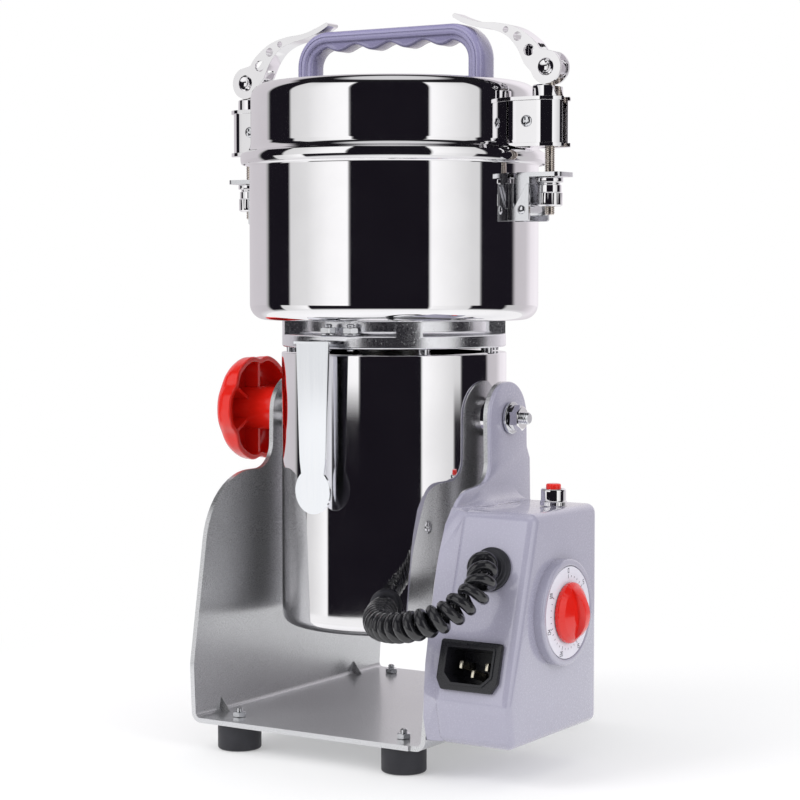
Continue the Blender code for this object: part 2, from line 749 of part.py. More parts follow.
def adapter_bolts(parent):
    """Two studs with hexagon nuts that hold the end bell and the pull strip."""
    shank = 2.0 * MM
    hex_low, hex_high = BELL_TOP + GAP, BELL_TOP + GAP + 3.6 * MM
    for i, (x, y) in enumerate(adapter_bolt_places()):
        name = f"adapter_bolt_{i + 1}"
        nut = prism(name, circle(4.2 * MM, 6), "Z", hex_low, hex_high)
        bolt = place(name, nut, steel(), parent, (x, y, 0))
        rod = prism("shank", circle(shank, TINY_ROUND), "Z", MOTOR_TOP + 1.2 * MM, hex_high + 1.8 * MM)
        combine(bolt, place(f"shank_{i}", rod, steel()), "UNION")


def pull_strip(parent):
    """The flat strip that hangs in front of the motor from a tab let into the end bell."""
    half, sheet = STRIP_WIDTH / 2, STRIP_SHEET
    tip = half + 0.8 * MM
    waist = half - 2.2 * MM
    centre = STRIP_END + tip
    face = [
        (-half, STRIP_TOP),
        (-waist, centre + 17 * MM),
        *arc((0, centre), tip, 130, 410, 12),
        (waist, centre + 17 * MM),
        (half, STRIP_TOP),
    ]
    blade = prism("pull_strip", [Vector(p) for p in face], "Y", -sheet / 2, sheet / 2)
    strip = place("pull_strip", blade, steel(), parent, (STRIP_X, STRIP_Y, 0))
    inward = -ADAPTER_BOLT_CIRCLE + 4.5 * MM - STRIP_Y
    tab = box_mesh("strip_tab", (-half, -sheet / 2, STRIP_TOP - sheet), (half, inward, STRIP_TOP))
    combine(strip, place("strip_tab", tab, steel()), "UNION")
    for i, (x, y) in enumerate(adapter_bolt_places()):
        hole = circle(2.0 * MM + GAP, TINY_ROUND, (x - STRIP_X, y - STRIP_Y))
        cutter = prism("strip_hole", hole, "Z", STRIP_TOP - sheet - CUT, STRIP_TOP + CUT)
        combine(strip, place(f"strip_hole_{i}", cutter, steel()))
    return strip


def stator(parent):
    """The laminated field ring pressed into the shell."""
    outer = MOTOR_RADIUS - MOTOR_WALL - GAP
    inner = ARMATURE_RADIUS + 1.0 * MM
    profile = [(inner, ARMATURE_HIGH), (inner, ARMATURE_LOW), (outer, ARMATURE_LOW), (outer, ARMATURE_HIGH)]
    place("stator", turned("stator", profile, ROUND), steel(), parent)


def bearing(name, parent, outer, inner, low, high):
    profile = [(inner, high), (inner, low), (outer, low), (outer, high)]
    place(name, turned(name, profile, MIDDLE_ROUND), steel(), parent)


def bearings(parent):
    low = MOTOR_BOTTOM + 2 * MM + GAP
    journal = JOURNAL_RADIUS + BEARING_CLEARANCE
    bearing("bearing_lower", parent, LOWER_BEARING_RADIUS, journal, low, low + 7 * MM)
    high = BELL_BOTTOM - 2 * MM - GAP
    journal = SHAFT_RADIUS + BEARING_CLEARANCE
    bearing("bearing_upper", parent, UPPER_BEARING_RADIUS, journal, high - 8 * MM, high)


def motor_shaft(parent):
    """The shaft, from its lower journal through the bowl floor to the blade nut."""
    low = MOTOR_BOTTOM + 3 * MM
    shoulder = MOTOR_BOTTOM + 10 * MM
    step = BLADE_HEIGHT - 2.5 * MM
    profile = [
        (0, SHAFT_TOP),
        (SPINDLE_RADIUS - 0.8 * MM, SHAFT_TOP),
        (SPINDLE_RADIUS, SHAFT_TOP - 1 * MM),
        (SPINDLE_RADIUS, step),
        (SHAFT_RADIUS, step),
        (SHAFT_RADIUS, shoulder),
        (JOURNAL_RADIUS, shoulder),
        (JOURNAL_RADIUS, low),
        (0, low),
    ]
    place("motor_shaft", turned("motor_shaft", profile, MIDDLE_ROUND), steel(), parent)


def armature(parent):
    """The wound core on the shaft, with its slots."""
    bore = SHAFT_RADIUS + GAP
    low, high, radius = ARMATURE_LOW, ARMATURE_HIGH, ARMATURE_RADIUS
    profile = [(bore, high), (bore, low), (radius, low), (radius, high)]
    core = place("armature", turned("armature", profile, MIDDLE_ROUND), steel(), parent)
    return core


def commutator(parent):
    bore = SHAFT_RADIUS + GAP
    low = ARMATURE_HIGH + 8 * MM
    profile = [(bore, low + 16 * MM), (bore, low), (14 * MM, low), (14 * MM, low + 16 * MM)]
    place("commutator", turned("commutator", profile, MIDDLE_ROUND), brass(), parent)


# ---- bowl and blades -------------------------------------------------------------------------------------
def bowl(parent):
    """The drawn steel bowl, with a rolled lip for the gasket and a hole for the shaft."""
    radius, wall, corner = BOWL_RADIUS, BOWL_WALL, BOWL_CORNER
    hole = SHAFT_RADIUS + 4 * MM
    outer = arc((radius - corner, BOWL_FLOOR + corner), corner, -90, 0)
    inner = arc((radius - corner, BOWL_FLOOR + corner), corner - wall, 0, -90)
    lip = radius + RIM_LIP
    profile = [
        *outer,
        (radius, BOWL_RIM - 1.6 * MM),
        (lip, BOWL_RIM - 1.6 * MM),
        (lip, BOWL_RIM),
        (radius - wall, BOWL_RIM),
        *inner,
        (hole, BOWL_FLOOR + wall),
        (hole, BOWL_FLOOR),
    ]
    place("bowl", turned("bowl", profile, ROUND), polished(), parent)


def shaft_seal(parent):
    """The flanged seal that closes the bowl floor round the shaft."""
    bore = SHAFT_RADIUS + BEARING_CLEARANCE
    top = BOWL_FLOOR + BOWL_WALL
    neck = SHAFT_RADIUS + 4 * MM - GAP
    profile = [
        (bore, top + 4 * MM),
        (bore, BOWL_FLOOR),
        (neck, BOWL_FLOOR),
        (neck, top + GAP),
        (neck + 6 * MM, top + GAP),
        (neck + 5 * MM, top + 4 * MM),
    ]
    place("shaft_seal", turned("shaft_seal", profile, MIDDLE_ROUND), steel(), parent)


def serrated_liner(parent):
    """The toothed ring inside the bowl that the blades throw the grain against."""
    outer = (BOWL_RADIUS - BOWL_WALL) * math.cos(math.pi / ROUND) - 0.1 * MM
    root = outer - 1.6 * MM
    tip = outer - LINER_WALL
    low = BOWL_FLOOR + BOWL_CORNER + 0.5 * MM
    high = low + LINER_HEIGHT
    count = LINER_TEETH * 2
    bm = bmesh.new()
    rings = {}
    for level in (low, high):
        for kind in ("outer", "inner"):
            ring = []
            for i in range(count):
                reach = outer if kind == "outer" else (root if i % 2 else tip)
                angle = 2 * math.pi * i / count
                ring.append(bm.verts.new((reach * math.cos(angle), reach * math.sin(angle), level)))
            rings[kind, level] = ring
    stitch(bm, rings["outer", low], rings["outer", high])
    stitch(bm, rings["outer", high], rings["inner", high])
    stitch(bm, rings["inner", high], rings["inner", low])
    stitch(bm, rings["inner", low], rings["outer", low])
    place("serrated_liner", finish_mesh(bm, "serrated_liner"), steel(), parent)


def blade(name, parent, height, turn, lift):
    """A flat hammer blade with both ends cranked by lift."""
    half, reach = BLADE_WIDTH / 2, BLADE_REACH
    outline = rounded(
        [(-reach, -half * 0.55, 2 * MM), (reach, -half * 0.55, 2 * MM), (reach, half * 0.3, 2 * MM),
         (9 * MM, half, 4 * MM), (-9 * MM, half, 4 * MM), (-reach, half * 0.3, 2 * MM)], 2
    )
    columns = [-0.55 * reach, -0.35 * reach, 0.35 * reach, 0.55 * reach]
    mesh = prism(name, outline, "Z", 0, BLADE_SHEET)
    bm = bmesh.new()
    bm.from_mesh(mesh)
    for x in columns:
        everything = list(bm.verts) + list(bm.edges) + list(bm.faces)
        bmesh.ops.bisect_plane(bm, geom=everything, plane_co=(x, 0, 0), plane_no=(1, 0, 0))
    for vertex in bm.verts:
        past = max(0.0, abs(vertex.co.x) - 0.35 * reach)
        vertex.co.z += lift * past / (0.65 * reach)
    cranked = finish_mesh(bm, name)
    piece = place(name, cranked, steel(), parent, (0, 0, height), (0, 0, turn))
    hole = prism("blade_hole", circle(SPINDLE_RADIUS + GAP, SMALL_ROUND), "Z", -CUT, BLADE_SHEET + CUT)
    combine(piece, place(f"{name}_hole", hole, steel()))


def blade_stack(parent):
    """Two blades with the spacer between them, and the left-hand nut on top."""
    low = BLADE_HEIGHT
    high = low + BLADE_SPACING
    blade("blade_lower", parent, low, 0.3, 5 * MM)
    blade("blade_upper", parent, high, 1.9, -4 * MM)
    bore = SPINDLE_RADIUS + GAP
    spacer_low, spacer_high = low + BLADE_SHEET + GAP, high - GAP
    profile = [(bore, spacer_high), (bore, spacer_low), (8 * MM, spacer_low), (8 * MM, spacer_high)]
    place("blade_spacer", turned("blade_spacer", profile, SMALL_ROUND), steel(), parent)
    nut_low = high + BLADE_SHEET + GAP
    nut = prism("blade_nut", circle(9.5 * MM, 6), "Z", nut_low, nut_low + 8 * MM)
    piece = place("blade_nut", nut, steel(), parent)
    hole = prism("blade_nut_hole", circle(bore, SMALL_ROUND), "Z", nut_low - CUT, nut_low + 8 * MM + CUT)
    combine(piece, place("blade_nut_hole", hole, steel()))


# ---- lid -------------------------------------------------------------------------------------------------
def lid_shell(parent):
    """The domed lid: side wall, flared out to a band that overhangs the bowl's lip."""
    radius, wall, corner = LID_RADIUS, LID_WALL, LID_CORNER
    band_inner = BAND_RADIUS - BAND_WALL
    under = BOWL_RIM + 2.2 * MM
    outer = arc((radius - corner, LID_TOP - corner), corner, 0, 80)
    inner = arc((radius - corner, LID_TOP - corner), corner - wall, 80, 0)
    profile = [
        (0, LID_TOP + 1.5 * MM),
        (0, LID_TOP + 1.5 * MM - wall),
        *inner,
        (radius - wall, under + 3.5 * MM),
        (radius - wall - 1.5 * MM, under),
        (band_inner, under),
        (band_inner, BAND_LOW),
        (BAND_RADIUS, BAND_LOW),
        (BAND_RADIUS, BAND_HIGH),
        (radius + 1.2 * MM, BAND_HIGH + 1.4 * MM),
        (radius, BAND_HIGH + 4.2 * MM),
        *outer,
    ]
    place("lid_shell", turned("lid_shell", profile, ROUND), polished(), parent)


def gasket(parent):
    """The silicone ring between the bowl's lip and the lid."""
    low, high = BOWL_RIM + GAP, BOWL_RIM + 2.2 * MM - GAP
    outer, inner = BOWL_RADIUS + RIM_LIP - 0.5 * MM, BOWL_RADIUS - BOWL_WALL
    profile = [(inner, high), (inner, low), (outer, low), (outer, high)]
    place("gasket", turned("gasket", profile, ROUND), rubber(), parent)


def handle_underside(x):
    """Height of the grip's underside above the lid: four finger scallops."""
    inner = HANDLE_HALF_SPAN - HANDLE_LEG - 6 * MM
    scallop = 1.2 * MM * math.cos(4 * 2 * math.pi * (x + inner) / (2 * inner))
    return HANDLE_HEIGHT - HANDLE_BAR + scallop - 1.2 * MM


def lid_handle(parent):
    """The D-shaped grip: two legs and a bar with finger scallops."""
    span, leg, top = HANDLE_HALF_SPAN, HANDLE_LEG, HANDLE_HEIGHT
    foot = GAP + 0.6 * MM
    inner = span - leg
    outside = rounded([(-span, foot, 0), (-span, top, 18 * MM), (span, top, 18 * MM), (span, foot, 0)], 6)
    xs = [inner - 6 * MM - i * (2 * (inner - 6 * MM)) / 24 for i in range(25)]
    under = [
        (inner, foot),
        (inner, handle_underside(xs[0]) - 6 * MM),
        *[(x, handle_underside(x)) for x in xs],
        (-inner, handle_underside(xs[-1]) - 6 * MM),
        (-inner, foot),
    ]
    half = HANDLE_DEPTH / 2
    outline = [*outside, *[Vector(p) for p in under]]
    mesh = prism("lid_handle", outline, "Y", -half, half)
    handle = place("lid_handle", mesh, lavender(), parent, (0, 0, LID_TOP))
    bevel(handle, 2.2 * MM, 1, 50)
    return handle


# ---- clamps ----------------------------------------------------------------------------------------------
def ear(side, parent):
    """The bracket on the lid: two flanges and a U-shaped wall, slotted for the rod, and the cam's seat."""
    name = "ear_right" if side > 0 else "ear_left"
    root = LID_RADIUS + GAP + 0.2 * MM
    half, sheet = EAR_HALF_DEPTH, EAR_SHEET
    inner_wall = rounded(
        [(root, -half, 0), (EAR_END - 6 * MM, -half, 0), (EAR_END - 1 * MM, -half * 0.55, 3 * MM),
         (EAR_END - 1 * MM, half * 0.55, 3 * MM), (EAR_END - 6 * MM, half, 0), (root, half, 0)], 3
    )
    body = prism(name, inner_wall, "Z", EAR_LOW + GAP + 0.9 * MM, EAR_HIGH)
    piece = place(name, body, polished(), parent)
    flange = rounded(
        [(root, -half - 1.5 * MM, 0), (EAR_END, -half - 1.5 * MM, 3 * MM),
         (EAR_END, half + 1.5 * MM, 3 * MM), (root, half + 1.5 * MM, 0)], 3
    )
    for i, low in enumerate((EAR_LOW + GAP + 0.9 * MM, EAR_HIGH - sheet)):
        plate = prism("ear_flange", flange, "Z", low, low + sheet)
        combine(piece, place(f"{name}_flange_{i}", plate, steel()), "UNION")
    seat_high = CAM_HEIGHT - CAM_RADIUS - GAP
    outer_end = CLAMP_X + SEAT_OUTER
    seat = [
        (CLAMP_X - SEAT_INNER, EAR_HIGH - 1 * MM),
        (CLAMP_X - SEAT_INNER, seat_high),
        (CLAMP_X, seat_high),
        (outer_end, seat_high - 0.7 * MM),
        (outer_end + 1.5 * MM, EAR_HIGH - 1 * MM),
    ]
    block = prism("seat", [Vector(p) for p in seat], "Y", -6.0 * MM, 6.0 * MM)
    combine(piece, place(f"{name}_seat", block, steel()), "UNION")
    space = half - sheet
    hollow = box_mesh("ear_hollow", (LID_RADIUS - CUT, -space, EAR_LOW + 1.2 * MM + sheet),
                      (EAR_END - 3.4 * MM, space, EAR_HIGH - sheet))
    combine(piece, place(f"{name}_hollow", hollow, steel()))
    slot_half = ROD_RADIUS + 0.8 * MM
    slot_low = (CLAMP_X - slot_half - 1.5 * MM, -slot_half, EAR_LOW - CUT)
    slot = box_mesh("ear_slot", slot_low, (EAR_END + CUT, slot_half, CAM_HEIGHT))
    combine(piece, place(f"{name}_slot", slot, steel()))
    room = [(0, LID_TOP), (0, EAR_LOW - CUT), (root, EAR_LOW - CUT), (root, LID_TOP)]
    keep = turned("ear_root", room, ROUND)
    combine(piece, place(f"{name}_root", keep, steel()))
    band = [
        (0, BAND_HIGH + 1.5 * MM),
        (0, BAND_LOW),
        (BAND_RADIUS + GAP, BAND_LOW),
        (BAND_RADIUS + GAP, BAND_HIGH + 0.9 * MM),
        (LID_RADIUS + 2 * MM, BAND_HIGH + 2.0 * MM),
        (LID_RADIUS + 0.6 * MM, BAND_HIGH + 5.0 * MM),
        (0, BAND_HIGH + 5.0 * MM),
    ]
    combine(piece, place(f"{name}_band", turned("ear_band", band[::-1], ROUND), steel()))
    if side < 0:
        mirror_x(piece)
    return piece


def mirror_x(piece):
    """Turns a right-hand clamp piece half a turn about the upright axis, to the left-hand side."""
    piece.rotation_euler[2] += math.pi
    piece.location.x *= -1
    piece.location.y *= -1


def lever_outline():
    """The cam lever's side view about the cam pin: a round eye and an S-shaped arm, tapering to its tip."""
    upper = [(2.0, 8.0), (-3.2, 9.0), (-6.2, 12.9), (-11.8, 17.4), (-17.6, 20.5), (-26.0, 22.7),
             (-37.0, 23.9), (-46.0, 26.6), (-51.6, 29.0)]
    lower = [(-52.6, 27.0), (-47.3, 24.2), (-42.0, 22.4), (-36.8, 21.0), (-31.1, 20.0), (-25.6, 18.2),
             (-20.8, 15.4), (-16.8, 11.0), (-14.4, 7.0), (-12.0, 2.0)]
    top = [Vector((x * MM, z * MM)) for x, z in upper]
    bottom = [Vector((x * MM, z * MM)) for x, z in lower]
    eye = [Vector(p) for p in arc((0, 0), CAM_RADIUS, -160, 62, 12)]
    return [*eye, *top[1:], *bottom]


def lever(side, parent):
    """The quick-release lever, with three lightening holes and the bore for the cam pin."""
    name = "lever_right" if side > 0 else "lever_left"
    half = LEVER_WIDTH / 2
    outline = [Vector((side * p.x, p.y)) for p in lever_outline()]
    piece = place(name, prism(name, outline, "Y", -half, half), polished(), parent)
    for i, (x, z, radius) in enumerate(((-9.4, 8.6, 2.9), (-15.8, 15.6, 2.2), (-22.4, 19.3, 1.5))):
        round_hole = circle(radius * MM, TINY_ROUND, (side * x * MM, z * MM))
        hole = prism("lever_hole", round_hole, "Y", -half - CUT, half + CUT)
        combine(piece, place(f"{name}_hole_{i}", hole, steel()))
    bore = prism("lever_bore", circle(4.0 * MM + GAP, SMALL_ROUND), "Y", -half - CUT, half + CUT)
    combine(piece, place(f"{name}_bore", bore, steel()))
    room = ROD_RADIUS + 0.8 * MM
    reach = CAM_RADIUS + CUT
    low, high = sorted((-side * room, side * reach))
    fork = box_mesh("lever_fork", (low, -room, -reach), (high, room, reach))
    combine(piece, place(f"{name}_fork", fork, steel()))


def cam_pin(side, parent):
    """The cross pin through the lever's eye that the rod is screwed into."""
    name = "cam_pin_right" if side > 0 else "cam_pin_left"
    half = LEVER_WIDTH / 2 + 0.8 * MM
    radius = 4.0 * MM
    profile = [(0, half), (radius - 1 * MM, half), (radius, half - 0.8 * MM), (radius, 0.8 * MM - half),
               (radius - 1 * MM, -half), (0, -half)]
    place(name, turned(name, profile, SMALL_ROUND, "Y"), steel(), parent)


def swing_bolt(side, parent):
    """Yoke, rod and knurled nut, which hinge on the bowl's bracket. The rod reaches up to the cam pin."""
    tag = "right" if side > 0 else "left"
    rise = CAM_HEIGHT - HINGE_HEIGHT
    offset = side * (CLAMP_X - HINGE_X)
    rod_high = rise - 4.0 * MM - GAP
    rod_low = ROD_LOW - HINGE_HEIGHT
    name = f"rod_{tag}"
    profile = [(0, rod_high), (ROD_RADIUS, rod_high), (ROD_RADIUS, rod_low + 0.6 * MM),
               (ROD_RADIUS - 0.6 * MM, rod_low), (0, rod_low)]
    place(name, turned(name, profile, TINY_ROUND), steel(), parent, (offset, 0, 0))
    yoke(side, parent)
    nut_axis = empty(f"nut_{tag}_axis", (offset, 0, 0), parent)
    nut(f"nut_{tag}", nut_axis)
    lever_axis = empty(f"lever_{tag}_axis", (offset, 0, rise), parent)
    lever(side, lever_axis)
    cam_pin(side, lever_axis)


def yoke(side, parent):
    """A folded plate: its top carries the rod, and its two cheeks run down to the hinge pin."""
    tag = "right" if side > 0 else "left"
    high = YOKE_HIGH - HINGE_HEIGHT
    sheet, half = YOKE_SHEET, YOKE_HALF_DEPTH
    inner = BOWL_RADIUS + 2.0 * MM - HINGE_X
    outer = EAR_END - HINGE_X
    name = f"yoke_{tag}"
    plate = [(side * inner, -half), (side * outer, -half), (side * outer, half), (side * inner, half)]
    mesh = prism(name, [Vector(p) for p in plate], "Z", high - sheet, high)
    piece = place(name, mesh, steel(), parent)
    cheek = [
        (side * inner, high - 0.5 * MM),
        (side * 3.2 * MM, high - 0.5 * MM),
        (side * 3.2 * MM, high - 8 * MM),
        (side * 3.0 * MM, 0),
        (side * 1.6 * MM, -2.8 * MM),
        (side * -1.6 * MM, -2.8 * MM),
        (side * inner, 2 * MM),
    ]
    for i, y in enumerate((-half, half - 1.8 * MM)):
        wall = prism("yoke_cheek", [Vector(p) for p in cheek], "Y", y, y + 1.8 * MM)
        combine(piece, place(f"{name}_cheek_{i}", wall, steel()), "UNION")
    pin = prism("yoke_bore", circle(1.5 * MM + GAP, TINY_ROUND), "Y", -half - CUT, half + CUT)
    combine(piece, place(f"{name}_bore", pin, steel()))
    round_hole = circle(ROD_RADIUS + GAP, TINY_ROUND, (side * (CLAMP_X - HINGE_X), 0))
    rod = prism("yoke_hole", round_hole, "Z", 0, high + CUT)
    combine(piece, place(f"{name}_hole", rod, steel()))


def nut(name, parent):
    """The knurled thumb nut under the yoke: collar, neck and toothed ring."""
    high = YOKE_HIGH - YOKE_SHEET - GAP - HINGE_HEIGHT
    low = high - NUT_LENGTH
    bore = ROD_RADIUS + GAP
    radius = NUT_RADIUS
    profile = [
        (bore, high),
        (bore, low),
        (radius - 1.2 * MM, low),
        (radius - 0.4 * MM, low + 1 * MM),
        (radius - 0.4 * MM, low + 5.2 * MM),
        (radius, low + 5.4 * MM),
        (radius, low + 9.0 * MM),
        (radius - 2.0 * MM, low + 9.4 * MM),
        (radius - 2.0 * MM, low + 11.6 * MM),
        (radius - 0.8 * MM, low + 12.0 * MM),
        (radius - 0.8 * MM, high),
    ]
    place(name, turned(name, profile, 18), polished(), parent)


def bracket(side, parent):
    """The lug and two cheeks welded on the bowl, with the hinge pin riveted through them."""
    name = "bracket_right" if side > 0 else "bracket_left"
    half = YOKE_HALF_DEPTH - 1.8 * MM - GAP
    root = BOWL_RADIUS + GAP
    root_in = root - 1.0 * MM
    lug = rounded(
        [(root_in, HINGE_HEIGHT + 4 * MM, 0), (HINGE_X + 2.6 * MM, HINGE_HEIGHT + 3.2 * MM, 2.4 * MM),
         (HINGE_X + 2.6 * MM, HINGE_HEIGHT - 2.8 * MM, 2.4 * MM), (root_in, HINGE_HEIGHT - 2.8 * MM, 0)], 3
    )
    piece = place(name, prism(name, lug, "Y", -half, half), steel(), parent)
    inner_face = YOKE_HALF_DEPTH + GAP
    outer_face = inner_face + 1.8 * MM
    low, edge = HINGE_HEIGHT - 5.5 * MM, HINGE_X + 4.1 * MM
    gusset = [(root_in, low), (edge, low), (edge, low + 18.2 * MM), (edge - 1.4 * MM, low + 18.2 * MM),
              (HINGE_X - 4.3 * MM, low + 6.2 * MM), (root_in, low + 6.2 * MM)]
    for i, y in enumerate((-outer_face, inner_face)):
        cheek = prism("bracket_cheek", [Vector(p) for p in gusset], "Y", y, y + 1.8 * MM)
        combine(piece, place(f"{name}_cheek_{i}", cheek, steel()), "UNION")
    reach = outer_face + 0.8 * MM
    pin = circle(1.5 * MM, TINY_ROUND, (HINGE_X, HINGE_HEIGHT))
    combine(piece, place(f"{name}_pin", prism("bracket_pin", pin, "Y", -reach, reach), steel()), "UNION")
    plate = box_mesh("bracket_plate", (root - 3.5 * MM, 0.4 * MM - outer_face, low + 0.4 * MM),
                     (BOWL_RADIUS + 1.8 * MM, outer_face - 0.4 * MM, HINGE_HEIGHT + 13 * MM))
    combine(piece, place(f"{name}_plate", plate, steel()), "UNION")
    wall = [(0, BOWL_RIM), (0, BOWL_FLOOR), (root, BOWL_FLOOR), (root, BOWL_RIM)]
    combine(piece, place(f"{name}_wall", turned("bracket_wall", wall, ROUND), steel()))
    if side < 0:
        mirror_x(piece)
    return piece


# ---- control box -----------------------------------------------------------------------------------------
def front_slope():
    """How far the box's front face steps forward for each metre down."""
    return (BOX_FRONT_CREASE - BOX_FRONT_TOP) / (BOX_TOP - BOX_CREASE)


def front_frame(x, height):
    """A point on the box's sloping front face, and the turn that points a +Z shape straight out of it."""
    slope = front_slope()
    y = -BOX_FRONT_TOP - slope * (BOX_TOP - height)
    outward = Vector((0, -1, slope)).normalized()
    return Vector((x, y, height)), outward, (math.pi / 2 - math.atan(slope), 0, 0)


def box_side(inset=0.0):
    """The box's outline in (Y, Z), drawn in by inset."""
    slope = front_slope()
    return [
        (-BOX_FRONT_TOP + inset * (1 - slope), BOX_TOP - inset),
        (-BOX_FRONT_CREASE + inset, BOX_CREASE),
        (-BOX_FRONT_BOTTOM + inset, BOX_BOTTOM + inset),
        (BOX_REAR - inset, BOX_BOTTOM + inset),
        (BOX_REAR - inset, BOX_TOP - inset),
    ]


def control_box(parent):
    """The moulded housing: a flange that follows the side plate, a deep box and a lobe over the pivot."""
    side = [Vector(p) for p in box_side()]
    body = place("control_box", prism("control_box", side, "X", BOX_FRONT_INNER, BOX_OUT), lavender(), parent)
    bevel(body, BOX_BEVEL, 2, 25)
    inner_face = FRAME_HALF_WIDTH - CUT
    flange_points = [(inner_face, y, z) for y, z in flange_outline()]
    flange_points += [(plate_x(z) + GAP + BOX_PANEL, y, z) for y, z in flange_outline()]
    flange_points += [(BOX_FRONT_INNER + BOX_BEVEL, y, z) for y, z in box_side(1.0 * MM)]
    combine(body, place("box_flange", hull("box_flange", flange_points), steel()), "UNION")
    combine(body, place("box_neck", box_neck(), steel()), "UNION")
    ring = circle(DIAL_RING_RADIUS, MIDDLE_ROUND, (DIAL_Y, DIAL_HEIGHT))
    boss = prism("dial_boss", ring, "X", BOX_OUT - 2 * MM, BOX_OUT + DIAL_RING_DEPTH)
    combine(body, place("dial_boss", boss, steel()), "UNION")
    recess = circle(DIAL_PLATE_RADIUS + GAP, MIDDLE_ROUND, (DIAL_Y, DIAL_HEIGHT))
    rim = BOX_OUT + DIAL_RING_DEPTH
    cutter = prism("dial_recess", recess, "X", rim - 1.3 * MM, rim + CUT)
    combine(body, place("dial_recess", cutter, steel()))
    hollow = [Vector(p) for p in box_side(BOX_WALL)]
    inside = prism("box_hollow", hollow, "X", FRAME_HALF_WIDTH - 2 * CUT, BOX_OUT - BOX_WALL)
    combine(body, place("box_hollow", inside, steel()))
    wedge = [(0, 0), (plate_x(0) + GAP, 0), (plate_x(0.2) + GAP, 0.2), (0, 0.2)]
    room = prism("plate_room", [Vector(p) for p in wedge], "Y", -0.12, 0.12)
    combine(body, place("plate_room", room, steel()))
    bore = circle(BOLT_RADIUS + BOLT_CLEARANCE, SMALL_ROUND, (0, PIVOT_HEIGHT))
    combine(body, place("neck_bore", prism("neck_bore", bore, "X", 0.05, 0.09), steel()))
    shaft = circle(3.0 * MM + GAP, TINY_ROUND, (DIAL_Y, DIAL_HEIGHT))
    bore = prism("dial_bore", shaft, "X", BOX_OUT - 2 * CUT, BOX_OUT + 2 * CUT)
    combine(body, place("dial_bore", bore, steel()))
    well = circle(4.6 * MM + GAP, SMALL_ROUND, (BREAKER_X, BREAKER_Y))
    bore = prism("breaker_bore", well, "Z", BOX_TOP - 2 * CUT, BOX_TOP + CUT)
    combine(body, place("breaker_bore", bore, steel()))
    cut_inlet(body)
    at, outward, turn = front_frame(GLAND_X, GLAND_HEIGHT)
    hole = prism("gland_bore", circle(5.0 * MM + GAP, SMALL_ROUND), "Z", -2 * CUT, CUT)
    combine(body, place("gland_bore", hole, steel(), None, at, turn))
    for i, (y, z) in enumerate(box_screw_places()):
        tower_low, tower_high = plate_x(z) + GAP, BOX_OUT - BOX_WALL / 2
        tower = prism("box_tower", circle(4.0 * MM, TINY_ROUND, (y, z)), "X", tower_low, tower_high)
        combine(body, place(f"box_tower_{i}", tower, steel()), "UNION")
        round_hole = circle(SCREW_RADIUS + GAP, TINY_ROUND, (y, z))
        hole = prism("tower_bore", round_hole, "X", tower_low - CUT, tower_low + 13 * MM)
        combine(body, place(f"tower_bore_{i}", hole, steel()))
    return body


def flange_outline():
    """The convex lower part of the side plate's outline that the box's flange covers."""
    edge = [(-51.5, 127.5), (-60.6, 117.0), (-69.4, 98.0), (-77.2, 66.0), (-79.8, 43.0), (-81.0, 24.0),
            (-79.0, 19.0), (4.0, 19.0), (4.0, 127.5)]
    return [(y * MM, z * MM) for y, z in edge]


def box_neck():
    """The panel that covers the plate's lobe and front shoulder, as thick as BOX_PANEL."""
    low = BOX_TOP - 8 * MM
    top = PIVOT_HEIGHT + LOBE_RADIUS
    outline = rounded(
        [
            (-58.5 * MM, low, 0),
            (-49.0 * MM, BOX_SIDE_SHOULDER - 3.0 * MM, 20 * MM),
            (-LOBE_RADIUS - 1.0 * MM, BOX_SIDE_SHOULDER + 0.5 * MM, LOBE_FILLET - 2 * MM),
            (-LOBE_RADIUS - 1.0 * MM, top, LOBE_RADIUS),
            (LOBE_RADIUS, top, LOBE_RADIUS - 0.5 * MM),
            (LOBE_RADIUS, 152 * MM, 3 * MM),
            (NECK_REAR, 146 * MM, 3 * MM),
            (NECK_REAR, low, 0),
        ],
        5,
    )
    mesh = prism("box_neck", outline, "X", 0, BOX_PANEL + CUT)
    return shift(mesh, lambda co: (plate_x(co.z) + GAP - (CUT if co.x > CUT / 2 else 0.0), 0, 0))


def cut_inlet(body):
    at, outward, turn = front_frame(INLET_X, INLET_HEIGHT)
    half_wide, half_tall = inlet_neck_half()
    wide, tall = half_wide + GAP, half_tall + GAP
    room = box_mesh("inlet_bore", (-wide, -tall, -2 * CUT), (wide, tall, CUT))
    combine(body, place("inlet_bore", room, steel(), None, at, turn))


def inlet_neck_half():
    return INLET_WIDTH / 2 - 2.6 * MM, INLET_TALL / 2 - 2.0 * MM


